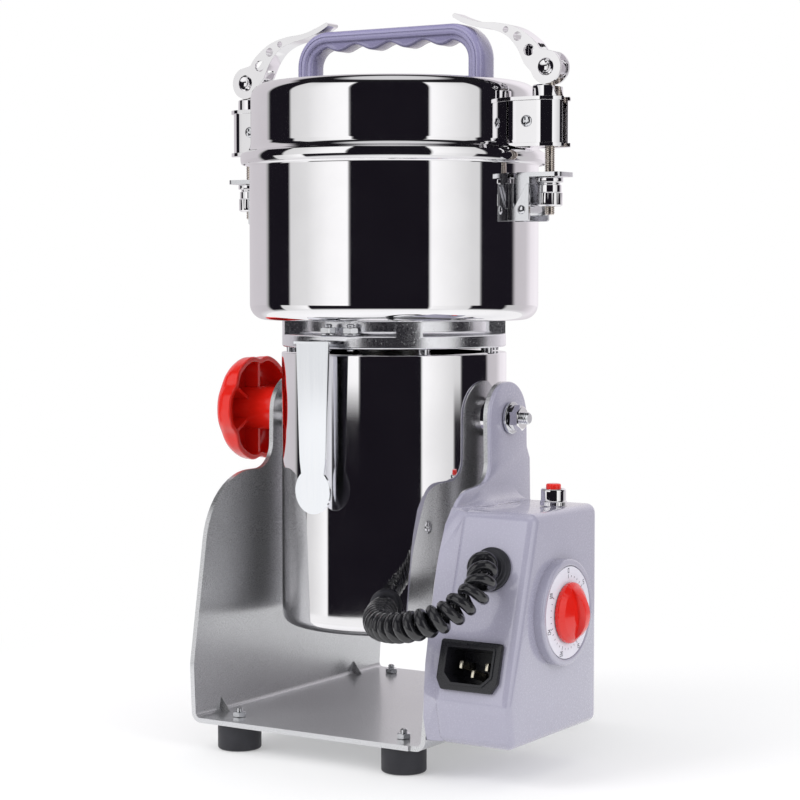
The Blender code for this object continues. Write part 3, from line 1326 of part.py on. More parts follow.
def power_inlet(parent):
    """The three-pin appliance inlet: bezel, open well and three blades."""
    at, outward, turn = front_frame(INLET_X, INLET_HEIGHT)
    holder = empty("inlet_axis", at, parent, turn)
    wide, tall, cut = INLET_WIDTH / 2, INLET_TALL / 2, 5.0 * MM
    bezel = rounded(
        [(-wide, tall, 1.5 * MM), (-wide, -tall + cut, 1 * MM), (-wide + cut * 0.6, -tall, 1 * MM),
         (wide - cut * 0.6, -tall, 1 * MM), (wide, -tall + cut, 1 * MM), (wide, tall, 1.5 * MM)], 2
    )
    piece = place("inlet_housing", prism("inlet_housing", bezel, "Z", GAP, 2.4 * MM), black(), holder)
    neck_wide, neck_tall = inlet_neck_half()
    neck = box_mesh("inlet_neck", (-neck_wide, -neck_tall, -17 * MM), (neck_wide, neck_tall, 1.0 * MM))
    combine(piece, place("inlet_neck", neck, steel()), "UNION")
    well_wide, well_tall, well_cut = 12.2 * MM, 8.2 * MM, 4.2 * MM
    well = [(-well_wide, well_tall), (-well_wide, -well_tall + well_cut), (-well_wide + well_cut, -well_tall),
            (well_wide - well_cut, -well_tall), (well_wide, -well_tall + well_cut), (well_wide, well_tall)]
    cutter = prism("inlet_well", [Vector(p) for p in well], "Z", -14.5 * MM, CUT)
    combine(piece, place("inlet_well", cutter, steel()))
    pins = (("inlet_pin_line", -7.0, -0.3), ("inlet_pin_neutral", 7.0, -0.3), ("inlet_pin_earth", 0.0, -4.2))
    for name, x, y in pins:
        low = (-1.0 * MM, -2.0 * MM, -18.5 * MM)
        high = (1.0 * MM, 2.0 * MM, -2.5 * MM)
        slot = box_mesh("pin_slot", [v - GAP for v in low], (high[0] + GAP, high[1] + GAP, -12 * MM))
        combine(piece, place(f"{name}_slot", slot, steel(), None, (x * MM, (y + 1.2) * MM, 0)))
        pin = place(name, box_mesh(name, low, high), brass(), holder, (x * MM, (y + 1.2) * MM, 0))
        bevel(pin, 0.4 * MM, 1, 60)


def timer(parent):
    """Clockwork timer behind the wall, printed dial plate and the knob on its shaft."""
    wall_inside = BOX_OUT - BOX_WALL - GAP
    at = (0, DIAL_Y, DIAL_HEIGHT)
    holder = empty("timer_axis", at, parent)
    half = 17 * MM
    block = box_mesh("timer_body", (wall_inside - 24 * MM, -half, -half), (wall_inside, half, half))
    body = place("timer_body", block, black(), parent, at)
    tip = BOX_OUT + DIAL_RING_DEPTH + 5 * MM
    shaft = prism("timer_shaft", circle(3.0 * MM, TINY_ROUND), "X", wall_inside - 2 * MM, tip)
    combine(body, place("timer_shaft", shaft, steel()), "UNION")
    face = BOX_OUT + DIAL_RING_DEPTH
    plate = [(3.0 * MM + GAP, face - 1.3 * MM + GAP), (DIAL_PLATE_RADIUS, face - 1.3 * MM + GAP),
             (DIAL_PLATE_RADIUS, face - 0.2 * MM), (3.0 * MM + GAP, face - 0.2 * MM)]
    disc = turned("dial_plate", plate, MIDDLE_ROUND, "X")
    place("dial_plate", disc, material("dial_white", (0.85, 0.85, 0.85), 0.4, 0.0), parent, at)
    low = face + GAP
    radius, depth = KNOB_RADIUS, KNOB_DEPTH
    profile = [
        (0, low + depth - 4 * MM),
        (radius - 4.2 * MM, low + depth - 4 * MM),
        (radius - 2.6 * MM, low + depth - 2.2 * MM),
        (radius, low + 3.4 * MM),
        (radius, low),
        (3.0 * MM + GAP, low),
        (3.0 * MM + GAP, low + 5 * MM),
        (0, low + 5 * MM),
    ]
    knob = place("timer_knob", turned("timer_knob", profile, MIDDLE_ROUND, "X"), red(), holder)
    reach = radius - 1.2 * MM
    grip = box_mesh("knob_grip", (low + 5.2 * MM, -2.6 * MM, -reach), (low + depth, 2.6 * MM, reach))
    combine(knob, place("knob_grip", grip, steel()), "UNION")


def breaker(parent):
    """The push-to-reset circuit breaker on top of the box, with its knurled nut and red button."""
    axis = empty("reset_axis", (BREAKER_X, BREAKER_Y, 0), parent)
    top = BOX_TOP
    bore = RESET_RADIUS + GAP
    profile = [
        (0, top - 24 * MM),
        (9.5 * MM, top - 24 * MM),
        (9.5 * MM, top - BOX_WALL - GAP),
        (4.6 * MM, top - BOX_WALL - GAP),
        (4.6 * MM, top + GAP),
        (BREAKER_RADIUS, top + GAP),
        (BREAKER_RADIUS, top + 2.4 * MM),
        (BREAKER_RADIUS - 0.5 * MM, top + 2.8 * MM),
        (BREAKER_RADIUS - 0.5 * MM, top + BREAKER_HEIGHT - 0.6 * MM),
        (BREAKER_RADIUS - 1.1 * MM, top + BREAKER_HEIGHT),
        (bore, top + BREAKER_HEIGHT),
        (bore, top + BREAKER_HEIGHT - 7 * MM),
        (0, top + BREAKER_HEIGHT - 7 * MM),
    ]
    place("breaker_body", turned("breaker_body", profile, MIDDLE_ROUND), polished(), axis)
    low = top + BREAKER_HEIGHT - 4.5 * MM
    high = top + BREAKER_HEIGHT + RESET_PROUD
    button = [
        (0, low),
        (RESET_RADIUS, low),
        (RESET_RADIUS, high - 0.5 * MM),
        (RESET_RADIUS - 0.5 * MM, high),
        (0, high),
    ]
    place("reset_button", turned("reset_button", button, SMALL_ROUND), red(), axis)


def cord_gland(parent):
    """The round gland on the box's front that the coiled cord comes out of."""
    at, outward, turn = front_frame(GLAND_X, GLAND_HEIGHT)
    profile = [
        (0, -5 * MM),
        (5.0 * MM, -5 * MM),
        (5.0 * MM, GAP),
        (GLAND_RADIUS, GAP),
        (GLAND_RADIUS, 2.4 * MM),
        (GLAND_RADIUS - 2.2 * MM, 3.6 * MM),
        (GLAND_RADIUS - 2.6 * MM, GLAND_DEPTH),
        (0, GLAND_DEPTH),
    ]
    place("cord_gland", turned("cord_gland", profile, MIDDLE_ROUND), rubber(), parent, at, turn)


def box_screw(parent):
    """The screw whose head shows on the right plate's inner face, which holds the box on."""
    y, z = box_screw_places()[0]
    inner = plate_x(z) - SHEET
    profile = [
        (0, inner - GAP - 1.8 * MM),
        (2.2 * MM, inner - GAP - 1.8 * MM),
        (3.4 * MM, inner - GAP - 0.9 * MM),
        (3.4 * MM, inner - GAP),
        (SCREW_RADIUS, inner - GAP),
        (SCREW_RADIUS, inner + 13 * MM),
        (0, inner + 13 * MM),
    ]
    place("box_screw", turned("box_screw", profile, TINY_ROUND, "X"), steel(), parent, (0, y, z))


def coiled_cord(parent):
    """The outer shape of the curly cord between the gland and the motor."""
    at, outward, turn = front_frame(GLAND_X, GLAND_HEIGHT)
    first = at + outward * (GLAND_DEPTH + GAP)
    second = at + outward * (GLAND_DEPTH + 4.5 * MM)
    entry = Vector(CORD_ENTRY)
    radial = Vector((entry.x, entry.y, 0)).normalized()
    socket = radial * (MOTOR_RADIUS + GROMMET_PROUD + 2 * GAP) + Vector((0, 0, entry.z))
    before = radial * (MOTOR_RADIUS + GROMMET_PROUD + 6 * MM) + Vector((0, 0, entry.z - 0.3 * MM))
    middle = [Vector(p) * MM for p in CORD_ROUTE_MM]
    route = smooth_route([first, second, *middle, before, socket], 5 * MM)
    curve = bpy.data.curves.new("coiled_cord", "CURVE")
    curve.dimensions = "3D"
    curve.bevel_depth = COIL_RADIUS
    curve.bevel_resolution = 3
    curve.use_fill_caps = True
    spline = curve.splines.new("POLY")
    spline.points.add(len(route) - 1)
    for place_at, point in zip(spline.points, route):
        place_at.co = (*point, 1.0)
    obj = bpy.data.objects.new("coiled_cord", curve)
    bpy.context.scene.collection.objects.link(obj)
    curve.materials.append(rubber())
    obj.parent = parent


# ---- assembly --------------------------------------------------------------------------------------------
def build():
    clear_scene()
    machine = empty("machine", (-CENTRE_X, -CENTRE_Y, 0))
    u_frame(machine)
    feet(machine)
    pivot_right(machine)
    control_box(machine)
    power_inlet(machine)
    timer(machine)
    breaker(machine)
    cord_gland(machine)
    box_screw(machine)
    coiled_cord(machine)
    swing = empty("grinder_axis", (0, 0, PIVOT_HEIGHT), machine)
    grinder = empty("grinder", (0, 0, -PIVOT_HEIGHT), swing)
    motor_shell(grinder)
    motor_grommet(grinder)
    end_bell(grinder)
    adapter_bolts(grinder)
    pull_strip(grinder)
    stator(grinder)
    bearings(grinder)
    bowl(grinder)
    shaft_seal(grinder)
    serrated_liner(grinder)
    pivot_left(grinder)
    rotor = empty("rotor_axis", (0, 0, 0), grinder)
    motor_shaft(rotor)
    armature(rotor)
    commutator(rotor)
    blade_stack(rotor)
    lid = empty("lid", (0, 0, 0), grinder)
    lid_shell(lid)
    gasket(lid)
    lid_handle(lid)
    for side in (-1, 1):
        ear(side, lid)
        bracket(side, grinder)
        tag = "right" if side > 0 else "left"
        hinge = empty(f"swing_bolt_{tag}_axis", (side * HINGE_X, 0, HINGE_HEIGHT), grinder)
        swing_bolt(side, hinge)


build()
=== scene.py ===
"""The swing-type tabletop hammer mill in full detail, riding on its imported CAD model.

Pieces are drawn in millimetres about the grinder's upright axis, with the floor at z = 0, and placed() moves
them into the row frame.
"""

import math

import bmesh
import bpy
from mathutils import Matrix, Vector


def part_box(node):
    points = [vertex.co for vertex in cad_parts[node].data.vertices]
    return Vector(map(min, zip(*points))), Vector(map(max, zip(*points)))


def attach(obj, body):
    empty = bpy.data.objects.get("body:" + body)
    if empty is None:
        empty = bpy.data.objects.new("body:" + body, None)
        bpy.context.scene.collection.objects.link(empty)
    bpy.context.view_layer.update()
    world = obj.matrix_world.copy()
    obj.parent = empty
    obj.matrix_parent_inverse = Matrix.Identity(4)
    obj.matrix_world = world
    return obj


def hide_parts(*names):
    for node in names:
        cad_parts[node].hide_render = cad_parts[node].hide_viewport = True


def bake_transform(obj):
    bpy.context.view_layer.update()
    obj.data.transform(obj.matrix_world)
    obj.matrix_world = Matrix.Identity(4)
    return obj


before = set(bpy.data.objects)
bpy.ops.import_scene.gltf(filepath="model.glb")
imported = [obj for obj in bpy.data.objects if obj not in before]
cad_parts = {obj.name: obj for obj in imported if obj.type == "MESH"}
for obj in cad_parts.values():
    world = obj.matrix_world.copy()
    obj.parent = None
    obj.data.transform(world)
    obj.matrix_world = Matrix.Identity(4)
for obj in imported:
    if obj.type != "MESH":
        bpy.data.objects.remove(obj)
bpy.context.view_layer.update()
SHAFT_LOW, SHAFT_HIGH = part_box("motor_shaft")
AXIS = Vector(((SHAFT_LOW[0] + SHAFT_HIGH[0]) / 2, (SHAFT_LOW[1] + SHAFT_HIGH[1]) / 2, 0.0))

PIVOT = 167.4  # height of the tilting axis
CLAMP_X = 90.5  # a clamp's rod, out from the axis
CAM = 340.0  # height of the cam levers' pins
HINGE = (80.5, 270.5)  # the swing bolts' pins
EAR_X = 88.4  # centre of an ear's round nose
PLATE = 66.0  # outer face of a side plate at the pivot
LEAN = 0.0167  # how far the plates spread towards the floor
SHEET = 2.5
SHELL_RADIUS = 57.8
BOWL_RADIUS = 74.0


# ---- shapes ----
def plate_x(z):
    return PLATE + LEAN * (PIVOT - z)


def rounded(corners, steps=7):
    """A closed outline from (u, v, radius) corners, each turned into an arc of that radius."""
    outline = []
    count = len(corners)
    for i, (u, v, radius) in enumerate(corners):
        here = Vector((u, v))
        if radius <= 0:
            outline.append(here)
            continue
        back = (Vector(corners[i - 1][:2]) - here).normalized()
        ahead = (Vector(corners[(i + 1) % count][:2]) - here).normalized()
        half = back.angle(ahead) / 2
        reach = radius / math.tan(half)
        centre = here + (back + ahead).normalized() * (radius / math.sin(half))
        first = here + back * reach - centre
        turn = first.angle_signed(here + ahead * reach - centre)
        for step in range(steps + 1):
            outline.append(centre + Matrix.Rotation(-turn * step / steps, 2) @ first)
    return outline


def circle(radius, sides=32, centre=(0.0, 0.0)):
    turns = [2 * math.pi * i / sides for i in range(sides)]
    return [Vector((centre[0] + radius * math.cos(t), centre[1] + radius * math.sin(t))) for t in turns]


def arc(centre, radius, start, stop, steps=8):
    turns = [math.radians(start + (stop - start) * i / steps) for i in range(steps + 1)]
    return [(centre[0] + radius * math.cos(t), centre[1] + radius * math.sin(t)) for t in turns]


def as_mesh(bm):
    mesh = bpy.data.meshes.new("piece")
    bm.to_mesh(mesh)
    bm.free()
    return mesh


def closed(bm):
    bmesh.ops.remove_doubles(bm, verts=bm.verts, dist=1e-4)
    bmesh.ops.recalc_face_normals(bm, faces=bm.faces)
    return as_mesh(bm)


def loft(rings):
    """A closed skin over rings of points, each ring joined to the next and both ends capped."""
    bm = bmesh.new()
    rings = [[bm.verts.new(point) for point in ring] for ring in rings]
    for one, other in zip(rings, rings[1:]):
        for i in range(len(one)):
            j = (i + 1) % len(one)
            bm.faces.new((one[i], one[j], other[j], other[i]))
    bm.faces.new(rings[0])
    bm.faces.new(rings[-1])
    return closed(bm)


def prism(outline, axis, low, high):
    """The outline extruded along X, Y or Z. It lies in (Y, Z), (X, Z) or (X, Y)."""
    lay = {"X": lambda u, v, w: (w, u, v), "Y": lambda u, v, w: (u, w, v), "Z": lambda u, v, w: (u, v, w)}[axis]
    return loft([[lay(u, v, level) for u, v in outline] for level in (low, high)])


def supported(profile):
    """The closed profile with points added near the ends of its long straights, to hold their shading flat."""
    out = []
    for i, here in enumerate(profile):
        here = Vector(here)
        ahead = Vector(profile[(i + 1) % len(profile)])
        out.append(here)
        length = (ahead - here).length
        if length > 1.6 and max(here.x, ahead.x) > 1e-6:
            out.append(here.lerp(ahead, 0.25 / length))
            out.append(here.lerp(ahead, 1 - 0.25 / length))
    return out


def turned(profile, sides=96, axis="Z", ripple=None, support=True):
    """The closed (radius, height) profile turned about the axis. Radius 0 ends on the axis."""
    bm = bmesh.new()
    rings = []
    for radius, height in supported(profile) if support else profile:
        if radius < 1e-6:
            rings.append([bm.verts.new(along(axis, 0, 0, height))])
            continue
        ring = []
        for i in range(sides):
            angle = 2 * math.pi * i / sides
            reach = radius * (ripple(angle, radius, height) if ripple else 1.0)
            ring.append(bm.verts.new(along(axis, reach * math.cos(angle), reach * math.sin(angle), height)))
        rings.append(ring)
    for k in range(len(rings)):
        one, other = rings[k], rings[(k + 1) % len(rings)]
        if len(one) == 1 and len(other) == 1:
            continue
        for i in range(sides):
            j = (i + 1) % sides
            corners = [one[0]] if len(one) == 1 else [one[i], one[j]]
            corners += [other[0]] if len(other) == 1 else [other[j], other[i]]
            bm.faces.new(corners)
    return closed(bm)


def along(axis, u, v, height):
    return {"Z": (u, v, height), "X": (height, u, v), "Y": (v, height, u)}[axis]


def hull(points):
    bm = bmesh.new()
    for point in points:
        bm.verts.new(point)
    made = bmesh.ops.convex_hull(bm, input=bm.verts)
    loose = [item for item in made["geom_interior"] if isinstance(item, bmesh.types.BMVert)]
    bmesh.ops.delete(bm, geom=loose, context="VERTS")
    bmesh.ops.dissolve_limit(bm, angle_limit=0.01, verts=bm.verts, edges=bm.edges)
    return closed(bm)


def block(low, high):
    return hull([(x, y, z) for x in (low[0], high[0]) for y in (low[1], high[1]) for z in (low[2], high[2])])


def moved(mesh, matrix):
    mesh.transform(matrix)
    return mesh


def shifted(mesh, x, y, z):
    return moved(mesh, Matrix.Translation((x, y, z)))


def spun(mesh, degrees, axis="Z"):
    return moved(mesh, Matrix.Rotation(math.radians(degrees), 4, axis))


def joined(*meshes):
    """Several closed shells in one mesh, without cutting them into each other."""
    bm = bmesh.new()
    for mesh in meshes:
        bm.from_mesh(mesh)
    return as_mesh(bm)


def linked(name, data):
    """A new object of the data, in the scene."""
    obj = bpy.data.objects.new(name, data)
    bpy.context.scene.collection.objects.link(obj)
    return obj


def settle(obj, extra=()):
    """The object's mesh with its modifiers applied. The object and its helpers are removed."""
    graph = bpy.context.evaluated_depsgraph_get()
    made = bpy.data.meshes.new_from_object(obj.evaluated_get(graph))
    for item in (obj, *extra):
        mesh = item.data
        bpy.data.objects.remove(item, do_unlink=True)
        if mesh.users == 0:
            bpy.data.meshes.remove(mesh)
    return made


def cut(*meshes):
    return [("DIFFERENCE", mesh) for mesh in meshes]


def join(*meshes):
    return [("UNION", mesh) for mesh in meshes]


def keep(mesh):
    return [("INTERSECT", mesh)]


def carve(base, *groups):
    """base with each group of cut, join or keep steps applied in turn."""
    body = linked("work", base)
    tools = []
    for operation, mesh in sum(groups, []):
        tool = linked("work", mesh)
        modifier = body.modifiers.new(operation, "BOOLEAN")
        modifier.operation = operation
        modifier.solver = "EXACT"
        modifier.object = tool
        tools.append(tool)
    return settle(body, tools)


def bevelled(mesh, width, segments, angle, harden=False):
    """Rounds the edges sharper than the angle in degrees."""
    body = linked("work", mesh)
    modifier = body.modifiers.new("bevel", "BEVEL")
    modifier.width = width
    modifier.segments = segments
    modifier.limit_method = "ANGLE"
    modifier.angle_limit = math.radians(angle)
    modifier.harden_normals = harden
    return settle(body)


def soften(mesh, width, segments=3, angle=32):
    """Rounds the sharp edges and keeps the flats shading flat."""
    for polygon in mesh.polygons:
        polygon.use_smooth = True
    return bevelled(mesh, width, segments, angle, harden=True)


def smooth_route(points, step):
    """A Catmull-Rom curve through the points, read at about every step."""
    points = [Vector(point) for point in points]
    ends = [2 * points[0] - points[1], *points, 2 * points[-1] - points[-2]]
    route = [points[0]]
    for a, b, c, d in zip(ends, ends[1:], ends[2:], ends[3:]):
        parts = max(1, round((c - b).length / step))
        for i in range(1, parts + 1):
            t = i / parts
            bend = (2 * a - 5 * b + 4 * c - d) * t**2 + (3 * b - a - 3 * c + d) * t**3
            route.append(0.5 * (2 * b + (c - a) * t + bend))
    return route


def across(normal, tangent):
    """The normal made square to the tangent again."""
    return (normal - tangent * normal.dot(tangent)).normalized()


def tube(route, radius, sides=12):
    """A closed tube along the route, its section carried without twist."""
    tangent = (route[1] - route[0]).normalized()
    normal = tangent.orthogonal().normalized()
    turns = [2 * math.pi * k / sides for k in range(sides)]
    rings = []
    for i, point in enumerate(route):
        ahead = (route[min(i + 1, len(route) - 1)] - route[max(i - 1, 0)]).normalized()
        normal = across((tangent.rotation_difference(ahead) @ normal).normalized(), ahead)
        tangent = ahead
        side = tangent.cross(normal)
        rings.append([point + (normal * math.cos(turn) + side * math.sin(turn)) * radius for turn in turns])
    return loft(rings)


def dress(mesh, look):
    mesh.materials.clear()
    mesh.materials.append(look)


def placed(name, mesh, look):
    """An object of the mesh, moved into the row frame in metres, with its look."""
    mesh.transform(Matrix.Translation(AXIS) @ Matrix.Scale(0.001, 4))
    dress(mesh, look)
    mesh.shade_smooth()
    return linked(name, mesh)


def put(name, mesh, look, body, stands_for=(), sharp=38):
    """Places the mesh and makes it ride on its body."""
    obj = placed(name, mesh, look)
    if not mesh.has_custom_normals:
        mesh.set_sharp_from_angle(angle=math.radians(sharp))
    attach(obj, body)
    if stands_for:
        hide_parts(*stands_for)


def on_side(side, mesh):
    """A piece drawn for the right, given half a turn about the grinder's upright axis when it is the left one."""
    return moved(mesh, Matrix.Rotation(math.pi, 4, "Z")) if side < 0 else mesh


# ---- materials ----
class Nodes:
    """A node tree under construction."""

    def __init__(self, tree):
        self.tree = tree

    def node(self, kind, inputs=(), **settings):
        """A new node: its settings, then its inputs by name or number, linked from a socket or set to a value."""
        made = self.tree.nodes.new("ShaderNode" + kind)
        for key, value in settings.items():
            setattr(made, key, value)
        for key, value in inputs.items() if isinstance(inputs, dict) else enumerate(inputs):
            if hasattr(value, "is_output"):
                self.tree.links.new(value, made.inputs[key])
            else:
                made.inputs[key].default_value = value
        return made

    def ramp(self, factor, stops):
        made = self.node("ValToRGB", [factor])
        elements = made.color_ramp.elements
        while len(elements) < len(stops):
            elements.new(0.5)
        for element, (position, colour) in zip(elements, stops):
            element.position = position
            element.color = (*colour, 1.0)
        return made.outputs["Color"]

    def spread(self, value, low, high, start, stop):
        inputs = {"Value": value, "From Min": start, "From Max": stop, "To Min": low, "To Max": high}
        return self.node("MapRange", inputs).outputs["Result"]

    def mix(self, factor, one, other):
        """A blend of two colours, which the node takes at 6 and 7 and gives at 2."""
        one, other = [(*value, 1.0) if isinstance(value, tuple) else value for value in (one, other)]
        return self.node("Mix", {0: factor, 6: one, 7: other}, data_type="RGBA").outputs[2]


class Paint(Nodes):
    """A material under construction. Numbers that are the same everywhere stay on the shader's sockets."""

    def __init__(self, name, colour, roughness, metallic=0.0, **sockets):
        self.material = bpy.data.materials.new(name)
        self.material.use_nodes = True
        self.material.diffuse_color = (*colour, 1.0)
        super().__init__(self.material.node_tree)
        self.shader = self.tree.nodes["Principled BSDF"]
        sockets.update(base_color=(*colour, 1.0), roughness=roughness, metallic=metallic)
        for key, value in sockets.items():
            self.shader.inputs[key.replace("_", " ").title().replace("Ior", "IOR")].default_value = value
        self.place = self.node("TexCoord").outputs["Object"]
        self.relief = None

    def noise(self, scale, detail=3.0, rough=0.55, stretch=None):
        place = self.place
        if stretch:
            place = self.node("Mapping", {"Vector": place, "Scale": stretch}).outputs["Vector"]
        inputs = {"Vector": place, "Scale": scale, "Detail": detail, "Roughness": rough}
        return self.node("TexNoise", inputs).outputs["Fac"]

    def cells(self, scale):
        return self.node("TexVoronoi", {"Vector": self.place, "Scale": scale}).outputs["Distance"]

    def skin(self, colour, roughness):
        self.tree.links.new(colour, self.shader.inputs["Base Color"])
        self.tree.links.new(roughness, self.shader.inputs["Roughness"])

    def bump(self, height, distance, strength):
        inputs = {"Distance": distance, "Strength": strength, "Height": height}
        if self.relief:
            inputs["Normal"] = self.relief
        self.relief = self.node("Bump", inputs).outputs["Normal"]
        self.tree.links.new(self.relief, self.shader.inputs["Normal"])


def coat(name, tones, sheen, relief, cloud, grain=None, metallic=0.0, stops=(0.3, 0.7), rough_by="grain",
         bump_by="grain", pits=None, **sockets):
    """A look from one or two noises. The cloud runs the colour between the two tones; the grain, or the cloud
    where there is none, runs the roughness over the sheen and stands up as relief (distance, strength)."""
    middle = [sum(pair) / 2 for pair in zip(*tones)]
    paint = Paint(name, middle, sum(sheen) / 2, metallic, **sockets)
    fields = {"cloud": paint.noise(*cloud)}
    fields["grain"] = paint.noise(*grain) if grain else fields["cloud"]
    tone = paint.ramp(fields["cloud"], list(zip(stops, tones)))
    paint.skin(tone, paint.spread(fields[rough_by], *sheen, 0.3, 0.7))
    if relief:
        paint.bump(fields[bump_by], *relief)
    if pits:
        paint.bump(paint.cells(pits[0]), *pits[1:])
    return paint.material


def hammertone():
    """Silver hammertone enamel: a fine pebbled skin with metal flake in it."""
    paint = Paint("hammertone_silver", (0.62, 0.625, 0.64), 0.28, 0.85, coat_weight=0.3, coat_roughness=0.08)
    flake = paint.noise(2600.0, 2.0, 0.7)
    base = paint.ramp(flake, ((0.3, (0.60, 0.605, 0.62)), (0.72, (0.67, 0.675, 0.69))))
    tint = paint.ramp(paint.noise(26.0), ((0.3, (0.57, 0.575, 0.59)), (0.7, (0.67, 0.675, 0.69))))
    paint.skin(paint.mix(0.35, base, tint), paint.spread(flake, 0.24, 0.32, 0.3, 0.7))
    paint.bump(paint.cells(760.0), 0.000008, 0.25)
    return paint.material


def laminations():
    """Stacked motor laminations, seen as fine level lines."""
    paint = Paint("laminations", (0.33, 0.33, 0.34), 0.45, 1.0)
    layers = paint.node("TexWave", {"Vector": paint.place, "Scale": 95.0}, bands_direction="Z").outputs["Fac"]
    tone = paint.ramp(layers, ((0.1, (0.17, 0.17, 0.18)), (0.6, (0.40, 0.40, 0.41))))
    paint.skin(tone, paint.spread(layers, 0.36, 0.55, 0.0, 1.0))
    paint.bump(layers, 0.0001, 0.5)
    return paint.material


# mirror-polished stainless steel with faint polishing haze and hairlines
POLISHED = coat("polished_steel", ((0.855, 0.845, 0.86), (0.90, 0.89, 0.905)), (0.022, 0.055), (0.0000008, 0.25),
                (38.0, 4.0), (160.0, 2.0, 0.5, (1.0, 1.0, 9.0)), 1.0, rough_by="cloud")
# rolled steel with a short satin grain, for straps, rods and small hardware
BRIGHT = coat("bright_steel", ((0.70, 0.71, 0.735), (0.80, 0.805, 0.83)), (0.10, 0.2), (0.000001, 0.25),
              (420.0, 3.0, 0.6, (1.0, 1.0, 0.06)), metallic=1.0, stops=(0.25, 0.75))
# bright chromed strip, a little brushed along its length
STRAP = coat("strap_steel", ((0.90, 0.92, 0.96), (0.94, 0.955, 0.985)), (0.05, 0.10), (0.0000004, 0.2),
             (500.0, 3.0, 0.6, (1.0, 1.0, 0.04)), metallic=1.0, stops=(0.25, 0.75))
# oiled, slightly stained steel for the parts inside
INNER = coat("inner_steel", ((0.36, 0.36, 0.37), (0.52, 0.52, 0.53)), (0.25, 0.42), (0.000006, 0.4), (55.0, 5.0),
             (700.0, 2.0, 0.5, (1.0, 1.0, 0.15)), 1.0)
# as-cast aluminium: a fine sandy skin with small pits
CAST = coat("cast_aluminium", ((0.74, 0.74, 0.77), (0.88, 0.88, 0.91)), (0.16, 0.28), (0.000015, 0.4), (45.0,),
            (900.0, 4.0, 0.6), 1.0, pits=(420.0, 0.00001, 0.3))
SILVER = hammertone()
# semi-gloss moulded plastic with a very fine spark-eroded skin
LAVENDER = dict(relief=(0.00004, 0.15), cloud=(18.0,), grain=(1500.0, 2.0, 0.5), bump_by="cloud", coat_weight=1.0,
                coat_roughness=0.06, coat_ior=1.6)
BOX_PLASTIC = coat("lavender_grey_plastic", ((0.335, 0.325, 0.415), (0.36, 0.35, 0.44)), (0.19, 0.31), **LAVENDER)
HANDLE_PLASTIC = coat("lavender_handle_plastic", ((0.285, 0.265, 0.44), (0.31, 0.29, 0.47)), (0.23, 0.35), **LAVENDER)
# glossy red moulding, a little uneven where it cooled
RED = coat("red_plastic", ((0.66, 0.010, 0.005), (0.76, 0.016, 0.008)), (0.15, 0.26), (0.00002, 0.25), (40.0,),
           (300.0, 2.0, 0.5), coat_weight=0.3, coat_roughness=0.08)
# satin black moulding
BLACK = coat("black_plastic", ((0.008, 0.008, 0.011), (0.017, 0.017, 0.021)), (0.24, 0.36), (0.00001, 0.3),
             (1800.0, 3.0, 0.6))
# moulded black rubber with a dusty bloom
RUBBER = coat("black_rubber", ((0.011, 0.011, 0.016), (0.03, 0.03, 0.037)), (0.42, 0.62), (0.00004, 0.4),
              (90.0, 5.0), (1300.0, 3.0, 0.6), stops=(0.3, 0.75), rough_by="cloud")
# glossy black jacket with the small ripples of an extruded cord
CORD = coat("cord_jacket", ((0.009, 0.009, 0.011), (0.018, 0.018, 0.021)), (0.14, 0.28), (0.00002, 0.3), (260.0,),
            (1600.0, 2.0, 0.5), rough_by="cloud", coat_weight=0.4, coat_roughness=0.06)
# milky silicone with a soft sheen
MILKY = coat("milky_silicone", ((0.62, 0.62, 0.58), (0.74, 0.74, 0.71)), (0.45, 0.62), (0.00004, 0.2), (120.0,))
# turned metal with slight tarnish
TARNISHED = dict(sheen=(0.14, 0.3), relief=(0.00001, 0.3), cloud=(240.0, 4.0), metallic=1.0)
BRASS = coat("plated_brass", ((0.62, 0.50, 0.26), (0.80, 0.68, 0.40)), **TARNISHED)
PIN_METAL = coat("pin_metal", ((0.72, 0.66, 0.52), (0.85, 0.80, 0.68)), **TARNISHED)
ROD_METAL = coat("rod_metal", ((0.66, 0.60, 0.55), (0.80, 0.75, 0.70)), **TARNISHED)
STACK = laminations()
# printed lavender-white plate
PLATE_WHITE = coat("dial_plate_white", ((0.66, 0.65, 0.73), (0.74, 0.73, 0.80)), (0.28, 0.42), (0.00001, 0.2),
                   (60.0,), (1500.0, 2.0))
# dark printing ink, slightly broken at its edges
INK = coat("print_ink", ((0.035, 0.035, 0.05), (0.09, 0.09, 0.12)), (0.36, 0.5), None, (2400.0,))


# ---- small hardware ----
def thread_profile(low, high, radius, pitch=0.8, depth=0.35):
    """Closed profile of a rod whose skin is cut in close rings, like a thread."""
    points = [(0, high), (radius - 0.6, high), (radius, high - 0.6)]
    z = high - 0.6 - pitch / 2
    while z > low + 0.9:
        points.append((radius, z + pitch * 0.12))
        points.append((radius - depth, z - pitch * 0.2))
        points.append((radius, z - pitch * 0.52))
        z -= pitch
    points += [(radius, low + 0.6), (radius - 0.6, low), (0, low)]
    return points


def grooves(count, depth, inside):
    """A ripple for turned(): so many grooves of that share of the radius, where inside(radius, height) holds."""

    def ripple(angle, radius, height):
        return 1.0 - depth * (0.5 + 0.5 * math.cos(count * angle)) if inside(radius, height) else 1.0

    return ripple


def hexagon(radius, low, high, bore):
    """A chamfered hexagon nut along Z."""
    nut = prism(circle(radius, 6), "Z", low, high)
    flat = radius * math.cos(math.pi / 6)
    cone = [(0, high), (flat * 0.96, high), (radius + 0.05, high - (radius - flat) * 0.62),
            (radius + 0.05, low + (radius - flat) * 0.62), (flat * 0.96, low), (0, low)]
    hole = prism(circle(bore, 24), "Z", low - 2, high + 2)
    return soften(carve(nut, keep(turned(cone, 48, support=False)), cut(hole)), 0.12, 2, 25)


